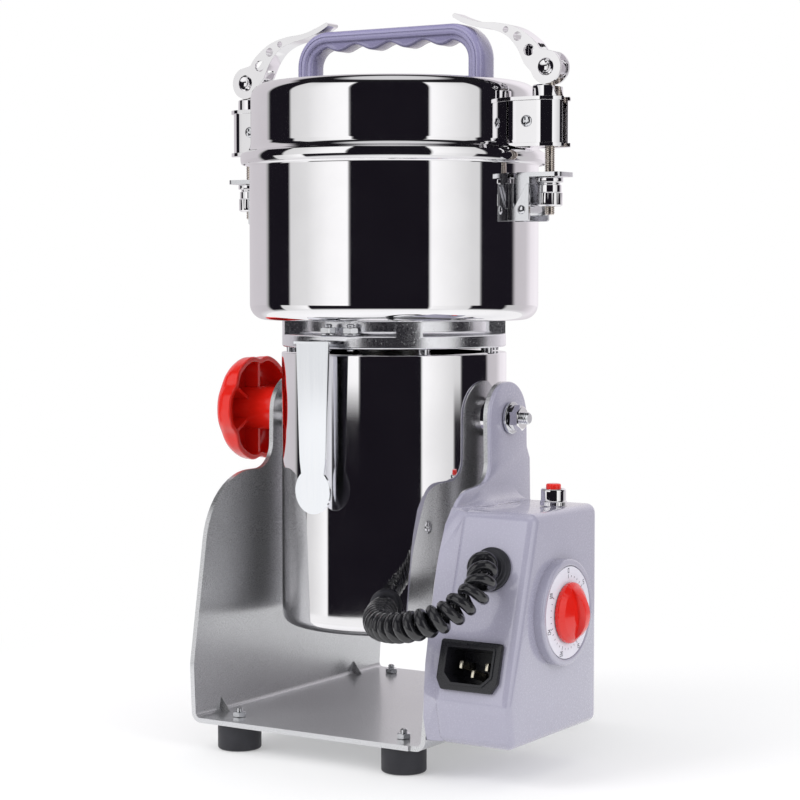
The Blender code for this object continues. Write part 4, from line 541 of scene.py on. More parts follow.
def cross_head(radius, height):
    """A pan head with a cross recess, its seat at z = 0, facing +Z."""
    dome = [(0, 1), (0.45, 0.97), (0.75, 0.84), (0.93, 0.55), (1, 0.18)]
    dome = [(radius * u, height * v) for u, v in dome] + [(radius, -0.3), (0, -0.3)]
    head = turned(dome, 40, support=False)
    slot, reach, seat = radius * 0.16, radius * 0.62, height * 0.45
    one = block((-reach, -slot, seat), (reach, slot, height + 1))
    other = block((-slot, -reach, seat), (slot, reach, height + 1))
    return carve(head, cut(one, other))


def facing(mesh, place, axis):
    """A piece drawn facing +Z, moved to the place and turned along the axis."""
    turn = Vector(axis).to_track_quat("Z", "Y").to_matrix().to_4x4()
    return moved(mesh, Matrix.Translation(place) @ turn)


def side_name(side):
    return "right" if side > 0 else "left"


# ---- frame ----
def shared_corners():
    top = PIVOT + 18.0
    return [(-18.0, top, 17.99), (18.0, top, 17.99), (18.0, 112.0, 13), (79.0, 112.0, 38), (90.5, 43.0, 25)]


def plate_outline(low, front):
    return rounded([(-82.0, low, 0), *front, *shared_corners(), (88.0, low, 0)], 12)


FEET = {
    "foot_front_left": (-49.0, -68.5),
    "foot_front_right": (49.0, -68.5),
    "foot_rear_left": (-49.0, 74.5),
    "foot_rear_right": (49.0, 74.5),
}
BOX_SCREWS = ((-46.5, 112.0), (-42.0, 34.0))


def build_frame():
    low, high = 13.3, PIVOT + 22
    out_low, out_high = plate_x(low), plate_x(high)
    section = rounded([
        (out_high, high, 0), (out_low, low, 5.0), (-out_low, low, 5.0), (-out_high, high, 0),
        (-out_high + SHEET, high, 0), (-out_low + SHEET, low + SHEET, 2.5), (out_low - SHEET, low + SHEET, 2.5),
        (out_high - SHEET, high, 0),
    ], 8)
    sheet = prism(section, "Y", -100, 100)
    left = [(-84.5, 43.0, 25), (-69.9, 138.0, 38), (-18.0, 138.0, 13)]
    right = [(-73.2, 66.0, 60), (-65.5, 96.0, 40), (-46.0, 133.0, 20), (-18.0, 136.5, 11)]
    left = prism(plate_outline(low - 4, left), "X", -80, 20)
    right = prism(plate_outline(low - 4, right), "X", 0, 80)
    base = block((-40.0, -82.45, low - 4), (60.0, -60.0, low + SHEET + 0.6))
    holes = [prism(circle(3.3, 32, (0, PIVOT)), "X", -80, 80)]
    holes += [prism(circle(2.0, 20, place), "Z", 0, 30) for place in FEET.values()]
    holes += [prism(circle(2.3, 20, place), "X", 55, 75) for place in BOX_SCREWS]
    bent = carve(sheet, keep(carve(left, join(right, base))), cut(*holes))
    put("frame_sheet", soften(bent, 0.55, 3, 35), SILVER, "frame", ["u_frame"])
    # pressed stiffening darts across the left and right bends
    corners = [(0.6, 0, 24.5), (0.6, -2.2, 17.0), (0.6, 2.2, 17.0), (-6.5, 0, 15.4), (-1.4, -1.8, 15.4),
               (-1.4, 1.8, 15.4), (-1.2, 0, 21.5), (-4.0, 0, 17.6)]
    for side in (-1, 1):
        inner = plate_x(20) - SHEET
        for i, y in enumerate((-61.0, 62.0)):
            dart = hull([(side * (inner + out), y + along, z) for out, along, z in corners])
            name = f"frame_dart_{side_name(side)}_{i + 1}"
            put(name, soften(dart, 0.7, 3, 20), SILVER, "frame")


def build_feet():
    profile = rounded([
        (5.0, 0, 0.5), (11.0, 0, 1.2), (11.0, 13.0, 1.0), (2.0, 13.0, 0), (2.0, 5.0, 0), (5.0, 5.0, 0),
    ], 5)
    for name, (x, y) in FEET.items():
        foot = shifted(turned(profile, 64), x, y, 0)
        put(name + "_rubber", foot, RUBBER, "frame", [name])
        thread = turned(thread_profile(6.0, 20.6, 1.75, 0.7, 0.25), 20, support=False)
        screw = joined(thread, hexagon(3.6, 15.95, 18.4, 1.8))
        put(name + "_screw", shifted(screw, x, y, 0), BRIGHT, "frame")


# ---- pivot ----
def along_x(mesh, x=0.0, y=0.0, z=PIVOT):
    """A piece drawn along +Z, laid along +X."""
    return moved(mesh, Matrix.Translation((x, y, z)) @ Matrix.Rotation(math.pi / 2, 4, "Y"))


def build_pivot():
    washer = rounded([(3.3, 69.0, 0), (8.0, 69.0, 0.25), (8.0, 70.4, 0.35), (3.3, 70.4, 0)], 3)
    washer = shifted(turned(washer, 64, "X"), 0, 0, PIVOT)
    put("pivot_flat_washer", washer, BRIGHT, "frame", ["pivot_washer"])
    nut = along_x(hexagon(6.4, 70.7, 75.9, 2.9))
    put("pivot_hex_nut", nut, POLISHED, "frame", ["pivot_nut"])
    bolt = along_x(turned(thread_profile(51.8, 79.7, 3.0, 1.0, 0.3), 32, support=False))
    put("pivot_threaded_bolt", bolt, BRIGHT, "frame", ["pivot_bolt"])


def star_ripple(angle, radius, height):
    """Six round lobes with a narrow hollow between each two, deepest at the rim and fading out on the face."""
    share = min(1.0, max(0.0, (height + 97.5) / 9.0)) * min(1.0, max(0.0, (radius - 12.0) / 8.0))
    past = (angle / (math.pi / 3) + 0.5) % 1.0 - 0.5
    hollow = math.exp(-((abs(past) - 0.5) / 0.17) ** 2)
    return 1.0 + 0.02 * share - 0.085 * share * hollow


def build_star():
    rim, out, wall, edge = -84.0, -97.0, 2.6, 28.2
    profile = rounded([
        (0, out + wall, 0), (edge - wall - 1.5, out + wall, 6.0), (edge - wall, rim, 0.6),
        (edge, rim, 0.9), (edge - 0.8, out, 8.5), (0, out, 0),
    ], 8)
    cup = turned(profile, 180, "X", star_ripple)
    hub = [(0, -96.0), (11.5, -96.0), (11.5, -69.2), (10.7, -68.4), (0, -68.4)]
    steps = join(turned(hub, 48, "X"))
    reach = edge - 3.2
    rib = [(-95.6, 6 - reach), (-90.5, -reach), (-85.8, -reach), (-85.8, reach), (-90.5, reach), (-95.6, reach - 6)]
    steps += join(*[spun(prism(rib, "Y", -0.9, 0.9), angle, "X") for angle in (0, 60, 120)])
    steps += cut(turned([(0, -60), (3.3, -60), (3.3, -92), (0, -92)], 32, "X"))
    knob = carve(cup, steps)
    put("star_grip", shifted(knob, 0, 0, PIVOT), RED, "star", ["star_knob"], 30)


# ---- motor ----
CORD_OUTWARD = Vector((27.6, -50.8, 0)).normalized()
CORD_HEIGHT = Vector((0, 0, 76.5))
CORD_GRIP = CORD_OUTWARD * SHELL_RADIUS + CORD_HEIGHT


def build_motor():
    radius, wall = SHELL_RADIUS, 1.5
    profile = rounded([
        (6.0, 60.0, 0), (radius, 60.0, 5.0), (radius, 199.1, 0.5), (radius - 9, 199.1, 0), (radius - 9, 197.1, 0),
        (radius - wall, 197.1, 0), (radius - wall, 61.5, 3.5), (14.3, 61.5, 0), (14.3, 70.0, 0), (11.3, 70.0, 0),
        (11.3, 62.0, 0), (6.0, 62.0, 0),
    ], 9)
    shell = turned(profile, 160)
    steps = []
    for side in (-1, 1):
        low, high = sorted((side * (radius - 1.0), side * 63.2))
        boss = [(0, low), (9.4, low), (10.0, low), (10.0, high), (0, high)]
        steps += join(shifted(turned(boss, 48, "X", support=False), 0, 0, PIVOT))
    steps += cut(shifted(turned([(0, -70), (3.3, -70), (3.3, 70), (0, 70)], 32, "X"), 0, 0, PIVOT))
    slot = rounded([(24, -3, 2.9), (24, 3, 2.9), (44, 3, 2.9), (44, -3, 2.9)], 6)
    steps += cut(*[spun(prism(slot, "Z", 56, 64), angle) for angle in range(30, 390, 60)])
    steps += cut(facing(turned([(0, -6), (5.3, -6), (5.3, 6), (0, 6)], 40), CORD_GRIP, CORD_OUTWARD))
    put("motor_tube", carve(shell, steps), POLISHED, "grinder", ["motor_shell"])
    bush = rounded([(0, -3.5, 0), (5.0, -3.5, 0), (5.0, 1.0, 0), (8.5, 1.0, 0.8), (6.6, 5.0, 1.2), (0, 5.0, 0)], 4)
    bush = facing(turned(bush, 48), CORD_GRIP, CORD_OUTWARD)
    put("motor_cord_bush", bush, RUBBER, "grinder", ["motor_grommet"])


BOLTS = arc((0, 0), 54.2, -94.6, -80.8, 1)


def build_bell():
    profile = rounded([
        (8.5, 215.3, 0), (8.5, 200.0, 0), (13.3, 200.0, 0), (13.3, 191.0, 0), (18.3, 191.0, 0), (19.3, 204.0, 0),
        (46.0, 204.0, 0), (46.0, 202.0, 0), (57.5, 202.0, 0.9), (57.5, 208.7, 1.1), (49.0, 208.7, 2.2),
        (49.0, 215.3, 0),
    ], 5)
    boss = [(0, 199.45), (2.9, 199.45), (3.3, 204.0), (0, 204.0)]
    ring = arc((0, 0), 53.6, -42, 228, 6)
    steps = join(*[shifted(turned(boss, 24, support=False), x, y, 0) for x, y in ring])
    steps += cut(*[prism(circle(2.3, 20, place), "Z", 195, 215) for place in BOLTS])
    steps += cut(block((-14.8, -66, 204.5), (6.8, -50.9, 206.3)))
    # four cast posts that carry the bowl, flush with the ring
    post = [(45.0, -6.6), (45.0, 6.6), (57.0, 6.6), *arc((0, 0), 57.45, 5.4, -5.4, 4), (57.0, -6.6)]
    steps += join(*[spun(prism(post, "Z", 206.0, 215.3), angle) for angle in (-50, 40, 130, 220)])
    bell = carve(turned(profile, 128), steps)
    put("motor_end_casting", bell, CAST, "grinder", ["end_bell"], 32)
    washer = rounded([(2.1, 208.85, 0), (4.5, 208.85, 0.2), (4.5, 209.6, 0.2), (2.1, 209.6, 0)], 2)
    for i, (x, y) in enumerate(BOLTS):
        thread = turned(thread_profile(200.4, 214.4, 2.0, 0.8, 0.28), 24, support=False)
        stud = joined(thread, hexagon(4.2, 209.7, 212.6, 2.1), turned(washer, 40))
        put(f"adapter_stud_{i + 1}", shifted(stud, x, y, 0), BRIGHT, "grinder", [f"adapter_bolt_{i + 1}"])


def build_strip():
    half, tip, waist, centre = 10.5, 11.3, 8.3, 132.3
    edge = [(waist, centre + 14.5), (waist + 0.3, centre + 19), (half, 206.0)]
    face = [(-x, z) for x, z in reversed(edge)] + [*arc((0, centre), tip, 131, 409, 40), *edge]
    blade = spun(prism(face, "Y", -0.6, 0.6), -7)
    tab = block((-half, -1.6, 204.8), (half, 16.5, 206.0))
    holes = [prism(circle(2.3, 20, (x + 4.0, y + 68.0)), "Z", 200, 210) for x, y in BOLTS]
    strip = soften(carve(blade, join(tab), cut(*holes)), 0.28, 3, 40)
    put("front_pull_strip", shifted(strip, -4.0, -68.0, 0), STRAP, "grinder", ["pull_strip"])


# ---- bowl and lid ----
def build_bowl():
    radius, wall = BOWL_RADIUS, 1.5
    profile = rounded([
        (11.0, 215.7, 0), (radius, 215.7, 8.0), (radius, 294.2, 1.6), (radius + 2.5, 295.4, 0.3),
        (radius + 2.5, 297.0, 0.7), (radius - wall, 297.0, 0.5), (radius - wall, 217.2, 6.5), (11.0, 217.2, 0),
    ], 12)
    put("bowl_shell", turned(profile, 192), POLISHED, "grinder", ["bowl"])


def build_lid():
    outer = arc((66.3, 328.3), 7.0, 0, 82, 14)
    inner = arc((66.3, 328.3), 5.5, 82, 0, 10)
    dome = [(50.0, 335.75), (30.0, 336.45), (12.0, 336.75)]
    profile = [
        (0, 336.8), (0, 335.3), (50.0, 334.2), *inner, (71.8, 302.7), (70.3, 299.2), (77.0, 299.2), (77.0, 294.6),
        (77.4, 294.6), *arc((71.6, 297.4), 6.95, -22, 22, 14), (77.3, 300.3),
        (76.4, 300.75), (75.4, 301.3), (74.4, 302.3), (73.7, 303.5), (73.3, 305.2), *outer, *dome,
    ]
    put("lid_pressing", turned(profile, 192), POLISHED, "lid", ["lid_shell"], 45)
    seal = rounded([(72.5, 298.9, 0.5), (72.5, 297.3, 0.5), (76.0, 297.3, 0.6), (76.0, 298.9, 0.6)], 4)
    put("lid_seal", turned(seal, 96, support=False), MILKY, "lid", ["gasket"])


def handle_section(scallop):
    """The grip's section as (depth, height) points: an outer bar with a side groove and an inner finger rib."""
    rib = 8.6 + scallop
    right = [
        (0.0, 0.0), (4.9, 0.0), (6.3, 0.35), (7.1, 1.1), (7.5, 2.2), (7.5, 2.65), (7.05, 2.85), (7.05, 3.25),
        (7.5, 3.45), (7.5, 4.6), (7.25, 5.3), (6.5, 5.75), (6.05, 5.95), (5.95, 6.3), (5.95, rib - 1.3),
        (5.5, rib - 0.45), (4.5, rib), (0.0, rib),
    ]
    return [(d, -h) for d, h in right] + [(-d, -h) for d, h in right[-2:0:-1]]


def build_handle():
    top, span, base, corner = 364.0, 55.5, 336.2, 18.0
    rise, run = top - corner - base, span - corner
    path = [(-span, base + 0.15)] + [(-span, base + rise * i / 8) for i in range(1, 8)]
    path += arc((-run, top - corner), corner, 180, 90, 18)
    path += [(-run + 2 * run * i / 56, top) for i in range(1, 56)]
    path += arc((run, top - corner), corner, 90, 0, 18)
    path += [(span, top - corner - rise * i / 8) for i in range(1, 8)] + [(span, base + 0.15)]
    rings, inner = [], 41.0
    for i, (x, z) in enumerate(path):
        before, after = path[max(i - 1, 0)], path[min(i + 1, len(path) - 1)]
        tangent = Vector((after[0] - before[0], after[1] - before[1])).normalized()
        level = max(0.0, min(1.0, (inner - abs(x)) / 6.0)) if z > top - 1.0 else 0.0
        wave = math.cos(4 * math.pi * (x + inner) / inner)
        section = handle_section(level * (-1.5 * wave + 0.3))
        rings.append([(x - tangent.y * h, d, z + tangent.x * h) for d, h in section])
    put("lid_grip", loft(rings), HANDLE_PLASTIC, "lid", ["lid_handle"], 50)


# ---- clamps ----
def build_ear(side):
    root, half = 73.8, 10.7

    def nose(reach):
        return [(root - 6, -reach), *arc((EAR_X, 0), reach, -90, 90, 32), (root - 6, reach)]

    brim = half + 1.3
    steps = join(*[prism(nose(brim), "Z", low, low + 1.8) for low in (301.2, 323.7)])
    seat = turned([(0, 324.0), (7.6, 324.0), (7.6, 330.9), (7.1, 331.5), (0, 331.5)], 56, support=False)
    slope = [(81.0, 320.0), (81.0, 331.5), (90.5, 331.5), (94.5, 330.8), (96.4, 324.4), (96.4, 320.0)]
    steps += join(carve(shifted(seat, CLAMP_X - 1.2, 0, 0), keep(prism(slope, "Y", -12, 12))))
    inside = [(69.0, -8.6), *arc((EAR_X, 0), 8.5, -90, 90, 20), (69.0, 8.6)]
    steps += cut(prism(inside, "Z", 303.4, 323.3), block((85.7, -3.3, 290.0), (104.0, 3.3, 345.0)))
    steps += cut(turned([(0, 345), (0, 290), (root, 290), (root, 345)], 128))
    band = [(0, 301.5), (0, 294.6), (78.8, 294.6), (78.8, 301.2), (75.3, 302.0), (73.9, 305.0), (0, 305.0)]
    steps += cut(turned(band, 128, support=False))
    shape = soften(carve(prism(nose(half), "Z", 301.2, 325.5), steps), 0.35, 3, 38)
    screws = joined(*[facing(cross_head(2.9, 1.3), (83.2, y * 10.7, 313.6), (0, y, 0)) for y in (-1, 1)])
    name = side_name(side)
    put(f"ear_{name}_bracket", on_side(side, shape), POLISHED, "lid", [f"ear_{name}"])
    put(f"ear_{name}_screws", on_side(side, screws), BRIGHT, "lid")


def lever_mesh():
    upper = [(-3.2, 9.0), (-6.2, 12.9), (-11.8, 17.4), (-17.6, 20.5), (-26.0, 22.7), (-37.0, 23.9),
             (-46.0, 26.6), (-51.6, 29.0)]
    lower = [(-52.6, 27.0), (-47.3, 24.2), (-42.0, 22.4), (-36.8, 21.0), (-31.1, 20.0), (-25.6, 18.2), (-20.8, 15.4),
             (-16.8, 11.0), (-14.4, 7.0), (-12.0, 2.0)]
    tip = [(-52.35, 28.9), (-52.9, 28.3), (-52.95, 27.6)]
    outline = [*arc((0, 0), 8.2, -165, 66, 40), *smooth_route(upper, 1.6), *tip, *smooth_route(lower, 1.6)]
    arm = prism(outline, "Y", -4.8, 4.8)
    holes = (((-9.4, 8.6), 2.9, 28), ((-15.8, 15.6), 2.2, 28), ((-22.4, 19.3), 1.5, 28), ((0, 0), 4.3, 40))
    steps = cut(*[prism(circle(radius, sides, centre), "Y", -8, 8) for centre, radius, sides in holes])
    steps += cut(block((-14.0, -3.3, -12.0), (9.0, 3.3, 12.0)))
    return soften(carve(arm, steps), 0.9, 4, 40)


def build_lever(side):
    name = side_name(side)
    half = 5.6
    dish = [(0, half - 1.5), (1.3, half - 1.4), (2.3, half - 0.8), (2.9, half - 0.2), (3.3, half), (4.0, half - 0.6)]
    pin = turned(dish + [(radius, -y) for radius, y in reversed(dish)], 48, "Y", support=False)
    arm, pin = [on_side(side, shifted(mesh, CLAMP_X, 0, CAM)) for mesh in (lever_mesh(), pin)]
    put(f"lever_{name}_arm", arm, POLISHED, f"cam_lever_{name}", [f"lever_{name}"])
    put(f"lever_{name}_cross_pin", pin, POLISHED, f"cam_lever_{name}", [f"cam_pin_{name}"])


def build_swing_bolt(side):
    name = side_name(side)
    rod = shifted(turned(thread_profile(268.0, 335.7, 2.5, 0.9, 0.32), 32, support=False), CLAMP_X, 0, 0)
    plate = rounded([(76.0, -8.6, 1.0), (100.0, -8.6, 3.0), (100.0, 8.6, 3.0), (76.0, 8.6, 1.0)], 5)
    cheek = [(76.0, 288.3), (83.7, 288.3), (83.7, 280.8), (83.5, 270.5), (82.6, 268.4), (80.5, 267.6), (78.6, 268.4),
             (76.0, 272.5)]
    steps = join(*[prism(cheek, "Y", y, y + 1.8) for y in (-8.6, 6.8)])
    steps += cut(prism(circle(1.8, 24, HINGE), "Y", -12, 12), prism(circle(2.8, 28, (CLAMP_X, 0)), "Z", 270, 292))
    yoke = soften(carve(prism(plate, "Z", 286.6, 288.8), steps), 0.3, 2, 38)
    rod, yoke, nut = [on_side(side, mesh) for mesh in (rod, yoke, nut_mesh())]
    put(f"rod_{name}_threaded", rod, ROD_METAL, f"swing_bolt_{name}", [f"rod_{name}"])
    put(f"yoke_{name}_fold", yoke, BRIGHT, f"swing_bolt_{name}", [f"yoke_{name}"])
    put(f"nut_{name}_knurled", nut, POLISHED, f"thumb_nut_{name}", [f"nut_{name}"])


def nut_mesh():
    """A thumb nut: knurled grip below, polished neck and flange collar above."""
    low, high = 272.1, 286.3
    profile = rounded([
        (2.8, high, 0), (2.8, low, 0), (5.4, low, 0.5), (6.4, low + 0.8, 0.2), (6.4, low + 6.6, 0.3),
        (5.9, low + 7.0, 0.2), (5.9, low + 10.4, 0.2), (5.2, low + 10.8, 0.2), (5.2, low + 11.6, 0.2),
        (6.7, low + 11.9, 0.3), (6.7, high, 0.4),
    ], 3)
    knurl = grooves(30, 0.035, lambda radius, height: radius > 6.2 and low + 0.9 < height < low + 6.5)
    return shifted(turned(profile, 150, "Z", knurl, support=False), CLAMP_X, 0, 0)


def build_bracket(side):
    name = side_name(side)
    lug = rounded([(73.3, 274.5, 0), (83.1, 273.7, 2.4), (83.1, 267.7, 2.4), (73.3, 267.7, 0)], 5)
    gusset = rounded([(73.3, 265.0, 0), (84.6, 265.0, 1.0), (84.6, 283.2, 0.6), (83.2, 283.2, 0), (76.2, 271.2, 1.0),
                      (73.3, 271.2, 0)], 3)
    steps = join(block((70.8, -10.3, 265.4), (75.8, 10.3, 283.5)))
    steps += join(*[prism(gusset, "Y", y, y + 1.8) for y in (-10.7, 8.9)])
    steps += cut(turned([(0, 297), (0, 215), (74.3, 215), (74.3, 297)], 160))
    body = soften(carve(prism(lug, "Y", -6.5, 6.5), steps), 0.3, 2, 38)
    rivet = [(0, 11.5), (1.1, 11.5), (1.9, 11.1), (2.2, 10.75), (1.5, 10.7)]
    rivet += [(radius, -y) for radius, y in reversed(rivet)]
    pin = shifted(turned(rivet, 32, "Y", support=False), HINGE[0], 0, HINGE[1])
    put(f"bracket_{name}_welded", on_side(side, joined(body, pin)), BRIGHT, "grinder", [f"bracket_{name}"])


# ---- control box ----
BOX_IN, BOX_OUT, BOX_TOP = 75.0, 116.0, 127.0
SLOPE = 26.0 / 87.0
DIAL = (-36.0, 78.5)
BREAKER = (104.0, -20.0)
GLAND = (97.0, 100.9)
INLET = (93.6, 56.7)
OUTWARD = Vector((0, -1, SLOPE)).normalized()


def box_side(inset=0.0):
    return [(-60 + inset * (1 - SLOPE), BOX_TOP - inset), (-86 + inset, 40.0), (-81.5 + inset, 19 + inset),
            (4 - inset, 19 + inset), (4 - inset, BOX_TOP - inset)]


def front_place(x, z):
    return Vector((x, -60 - SLOPE * (BOX_TOP - z), z))


def on_front(mesh, x, z):
    """A piece drawn facing +Z with +Y up the slope, set on the box's front face."""
    turn = Matrix.Rotation(math.pi / 2 - math.atan(SLOPE), 4, "X")
    return moved(mesh, Matrix.Translation(front_place(x, z)) @ turn)


def neck_flare():
    """The fillet between the neck and the top of the box, growing from nothing at the front."""
    foot, seat = plate_x(127) + 2.0, 126.8
    rings = []
    for k in range(15):
        y = -52.0 + 30.0 * k / 14 if k < 14 else 3.2
        radius = 0.8 + 9.2 * math.sin(math.pi / 2 * min(1.0, k / 13)) ** 2
        curve = arc((foot + radius, seat + radius), radius, 270, 180, 10)
        face = [(foot - 1.0, 124.0), (foot + radius, 124.0), *curve, (foot - 1.0, seat + radius)]
        rings.append([(x, y, z) for x, z in face])
    return loft(rings)


def build_box():
    body = bevelled(prism(box_side(), "X", BOX_IN, BOX_OUT), 4.6, 7, 14)
    edge = [(-51.5, 127.5), (-60.6, 117.0), (-69.4, 98.0), (-77.2, 66.0), (-79.8, 43.0), (-81.0, 24.0),
            (-79.0, 19.0), (4.0, 19.0), (4.0, 127.5)]
    points = [(62.0, y, z) for y, z in edge]
    points += [(plate_x(z) + 2.3, y, z) for y, z in edge]
    points += [(78.5, y, z) for y, z in box_side(1.0)]
    steps = join(bevelled(hull(points), 0.5, 2, 40))
    neck = rounded([
        (-58.5, 119, 0), (-49, 133.5, 20), (-19, 137, 11), (-19, 185.4, 18.2), (18, 185.4, 17.6), (18, 152, 3),
        (21, 146, 3), (21, 119, 0),
    ], 10)
    panel = prism(neck, "X", 0, 4)
    for vertex in panel.vertices:
        vertex.co.x = plate_x(vertex.co.z) + (2.3 if vertex.co.x > 2 else -1.7)
    steps += join(bevelled(panel, 0.9, 3, 50))
    steps += join(neck_flare())
    ring = rounded([
        (0, BOX_OUT - 2, 0), (25.5, BOX_OUT - 2, 0), (25.5, 121, 1.2), (22.3, 121, 0.6), (22.3, 119.7, 0),
        (0, 119.7, 0),
    ], 5)
    steps += join(shifted(turned(ring, 96, "X"), 0, *DIAL))
    for inset, inner, outer in ((2.5, 78.5, BOX_OUT - 2.5), (11.0, 48.0, 79.5)):
        steps += cut(prism(box_side(inset), "X", inner, outer))
    steps += cut(
        prism([(0, 0), (plate_x(0) + 0.3, 0), (plate_x(200) + 0.3, 200), (0, 200)], "Y", -120, 120),
        prism(circle(3.5, 32, (0, PIVOT)), "X", 50, 90),
        prism(circle(3.4, 24, DIAL), "X", 100, 130),
        prism(circle(4.9, 32, BREAKER), "Z", 110, 140),
        on_front(block((-14.2, -10.1, -15), (14.2, 10.1, 15)), *INLET),
        on_front(prism(circle(5.3, 32), "Z", -15, 15), *GLAND),
    )
    for y, z in BOX_SCREWS:
        steps += join(prism(circle(4.0, 24, (y, z)), "X", plate_x(z) + 0.3, BOX_OUT - 1.2))
        steps += cut(prism(circle(2.0, 20, (y, z)), "X", plate_x(z) - 5, plate_x(z) + 13))
    put("control_housing", carve(body, steps), BOX_PLASTIC, "frame", ["control_box"], 34)
    y, z = BOX_SCREWS[0]
    inner = plate_x(z) - SHEET
    head = facing(cross_head(3.4, 1.9), (inner - 0.05, y, z), (-1, 0, 0))
    shank = [(0, inner - 0.4), (1.8, inner - 0.4), (1.8, inner + 12), (0, inner + 13)]
    screw = joined(head, shifted(turned(shank, 20, "X"), 0, y, z))
    put("housing_screw", screw, BRIGHT, "frame", ["box_screw"])


def build_inlet():
    wide, tall, chamfer = 16.5, 11.8, 5.0
    foot, knee = wide - chamfer * 0.6, chamfer - tall
    outline = rounded([
        (-wide, tall, 1.5), (-wide, knee, 1.2), (-foot, -tall, 1.2), (foot, -tall, 1.2), (wide, knee, 1.2),
        (wide, tall, 1.5),
    ], 5)
    bezel = bevelled(prism(outline, "Z", 0.3, 2.4), 0.5, 3, 60)
    steps = join(block((-13.9, -9.8, -17), (13.9, 9.8, 1.0)))
    half, high, knee, foot = 12.2, 8.2, -4.0, 8.0
    well = [(-half, high), (-half, knee), (-foot, -high), (foot, -high), (half, knee), (half, high)]

    def out(value, edge):
        return value + math.copysign(1.1 if abs(value) == edge else 0.6, value)

    rim = [(out(x, half), out(z, high), 1) for x, z in well]
    well = rounded([(x, z, 0.8) for x, z in well], 3)
    steps += cut(prism(well, "Z", -14.5, 10))
    # a moulded rim around the mouth of the well
    collar = carve(prism(rounded(rim, 3), "Z", 2.0, 3.0), cut(prism(well, "Z", 0, 10)))
    pins = (("line", -7.0, 0.9), ("neutral", 7.0, 0.9), ("earth", 0.0, -3.0))
    for _, x, y in pins:
        steps += cut(block((x - 1.3, y - 2.3, -20), (x + 1.3, y + 2.3, -12)))
    housing = soften(carve(bezel, join(collar), steps), 0.25, 2, 50)
    put("inlet_moulding", on_front(housing, *INLET), BLACK, "frame", ["inlet_housing"])
    for name, x, y in pins:
        pin = bevelled(block((x - 1.0, y - 2.0, -18.5), (x + 1.0, y + 2.0, -2.5)), 0.45, 3, 60)
        put(f"inlet_blade_{name}", on_front(pin, *INLET), PIN_METAL, "frame", [f"inlet_pin_{name}"])


def build_gland():
    profile = rounded([
        (0, -5, 0), (5.0, -5, 0), (5.0, 0.3, 0), (10.5, 0.3, 0.2), (10.5, 2.0, 0.7), (9.2, 2.3, 0.3), (9.2, 3.2, 0.5),
        (7.6, 3.4, 0.2), (7.6, 4.0, 0.3), (0, 4.0, 0),
    ], 4)
    put("gland_rings", on_front(turned(profile, 64), *GLAND), RUBBER, "frame", ["cord_gland"])


SEGMENTS = {
    "0": "abcdef", "1": "bc", "2": "abged", "3": "abgcd", "4": "fgbc", "5": "afgcd", "6": "afgedc", "7": "abc",
    "8": "abcdefg", "9": "abcdfg",
}


def digit(char, size):
    """A number drawn with short bars, as (centre, half width, half height) boxes."""
    w, h, t = size * 0.26, size * 0.5, size * 0.075
    bars = {
        "a": ((0, h), w, t), "d": ((0, -h), w, t), "g": ((0, 0), w, t),
        "b": ((w, h / 2), t, h / 2), "c": ((w, -h / 2), t, h / 2),
        "f": ((-w, h / 2), t, h / 2), "e": ((-w, -h / 2), t, h / 2),
    }
    return [bars[name] for name in SEGMENTS[char]]


def build_dial():
    face = 120.8
    disc = rounded([(3.3, 120.0, 0), (22.0, 120.0, 0), (22.0, face, 0.25), (3.3, face, 0)], 3)
    put("dial_disc", shifted(turned(disc, 96, "X"), 0, *DIAL), PLATE_WHITE, "frame", ["dial_plate"])
    marks = []

    def mark(u, v, wide, tall, turn=0.0):
        """A printed patch: u runs to the rear along the plate, v up."""
        patch = spun(block((-0.03, -wide, -tall), (0.045, wide, tall)), turn, "X")
        marks.append(shifted(patch, face, DIAL[0] + u, DIAL[1] + v))

    for i, (u, v) in enumerate(arc((0, 0), 17.3, 90, -210, 30)):
        mark(u, v, 0.5 if i % 5 else 0.95, 0.16, 90 - 10 * i)
    for i, (middle, height) in enumerate(arc((0, 0), 20.1, 90, -210, 6)):
        text = str(i * 5)
        for k, char in enumerate(text):
            shift = (k - (len(text) - 1) / 2) * 1.5
            for (u, v), half_u, half_v in digit(char, 2.1):
                mark(middle + shift + u, height + v, half_u, half_v)
    put("dial_marks", joined(*marks), INK, "frame")
    low = 121.3
    profile = rounded([
        (0, low + 6.4, 0), (6.0, low + 6.0, 2.0), (11.8, low + 4.0, 2.0), (14.5, low + 1.8, 0.8), (14.6, low, 0.3),
        (3.3, low, 0), (3.3, low + 5, 0), (0, low + 5, 0),
    ], 4)
    fin = [(low + 1.2, -13.6), *arc((116.2, 0), 15.1, -65.5, 65.5, 40), (low + 1.2, 13.6)]
    ridge = bevelled(prism(fin, "Y", -2.3, 2.3), 1.0, 4, 50)
    teeth = grooves(40, 0.014, lambda radius, height: radius > 13.4)
    knob = spun(joined(turned(profile, 160, "X", teeth), ridge), 8, "X")
    put("dial_knob", shifted(knob, 0, *DIAL), RED, "timer_dial", ["timer_knob"], 34)


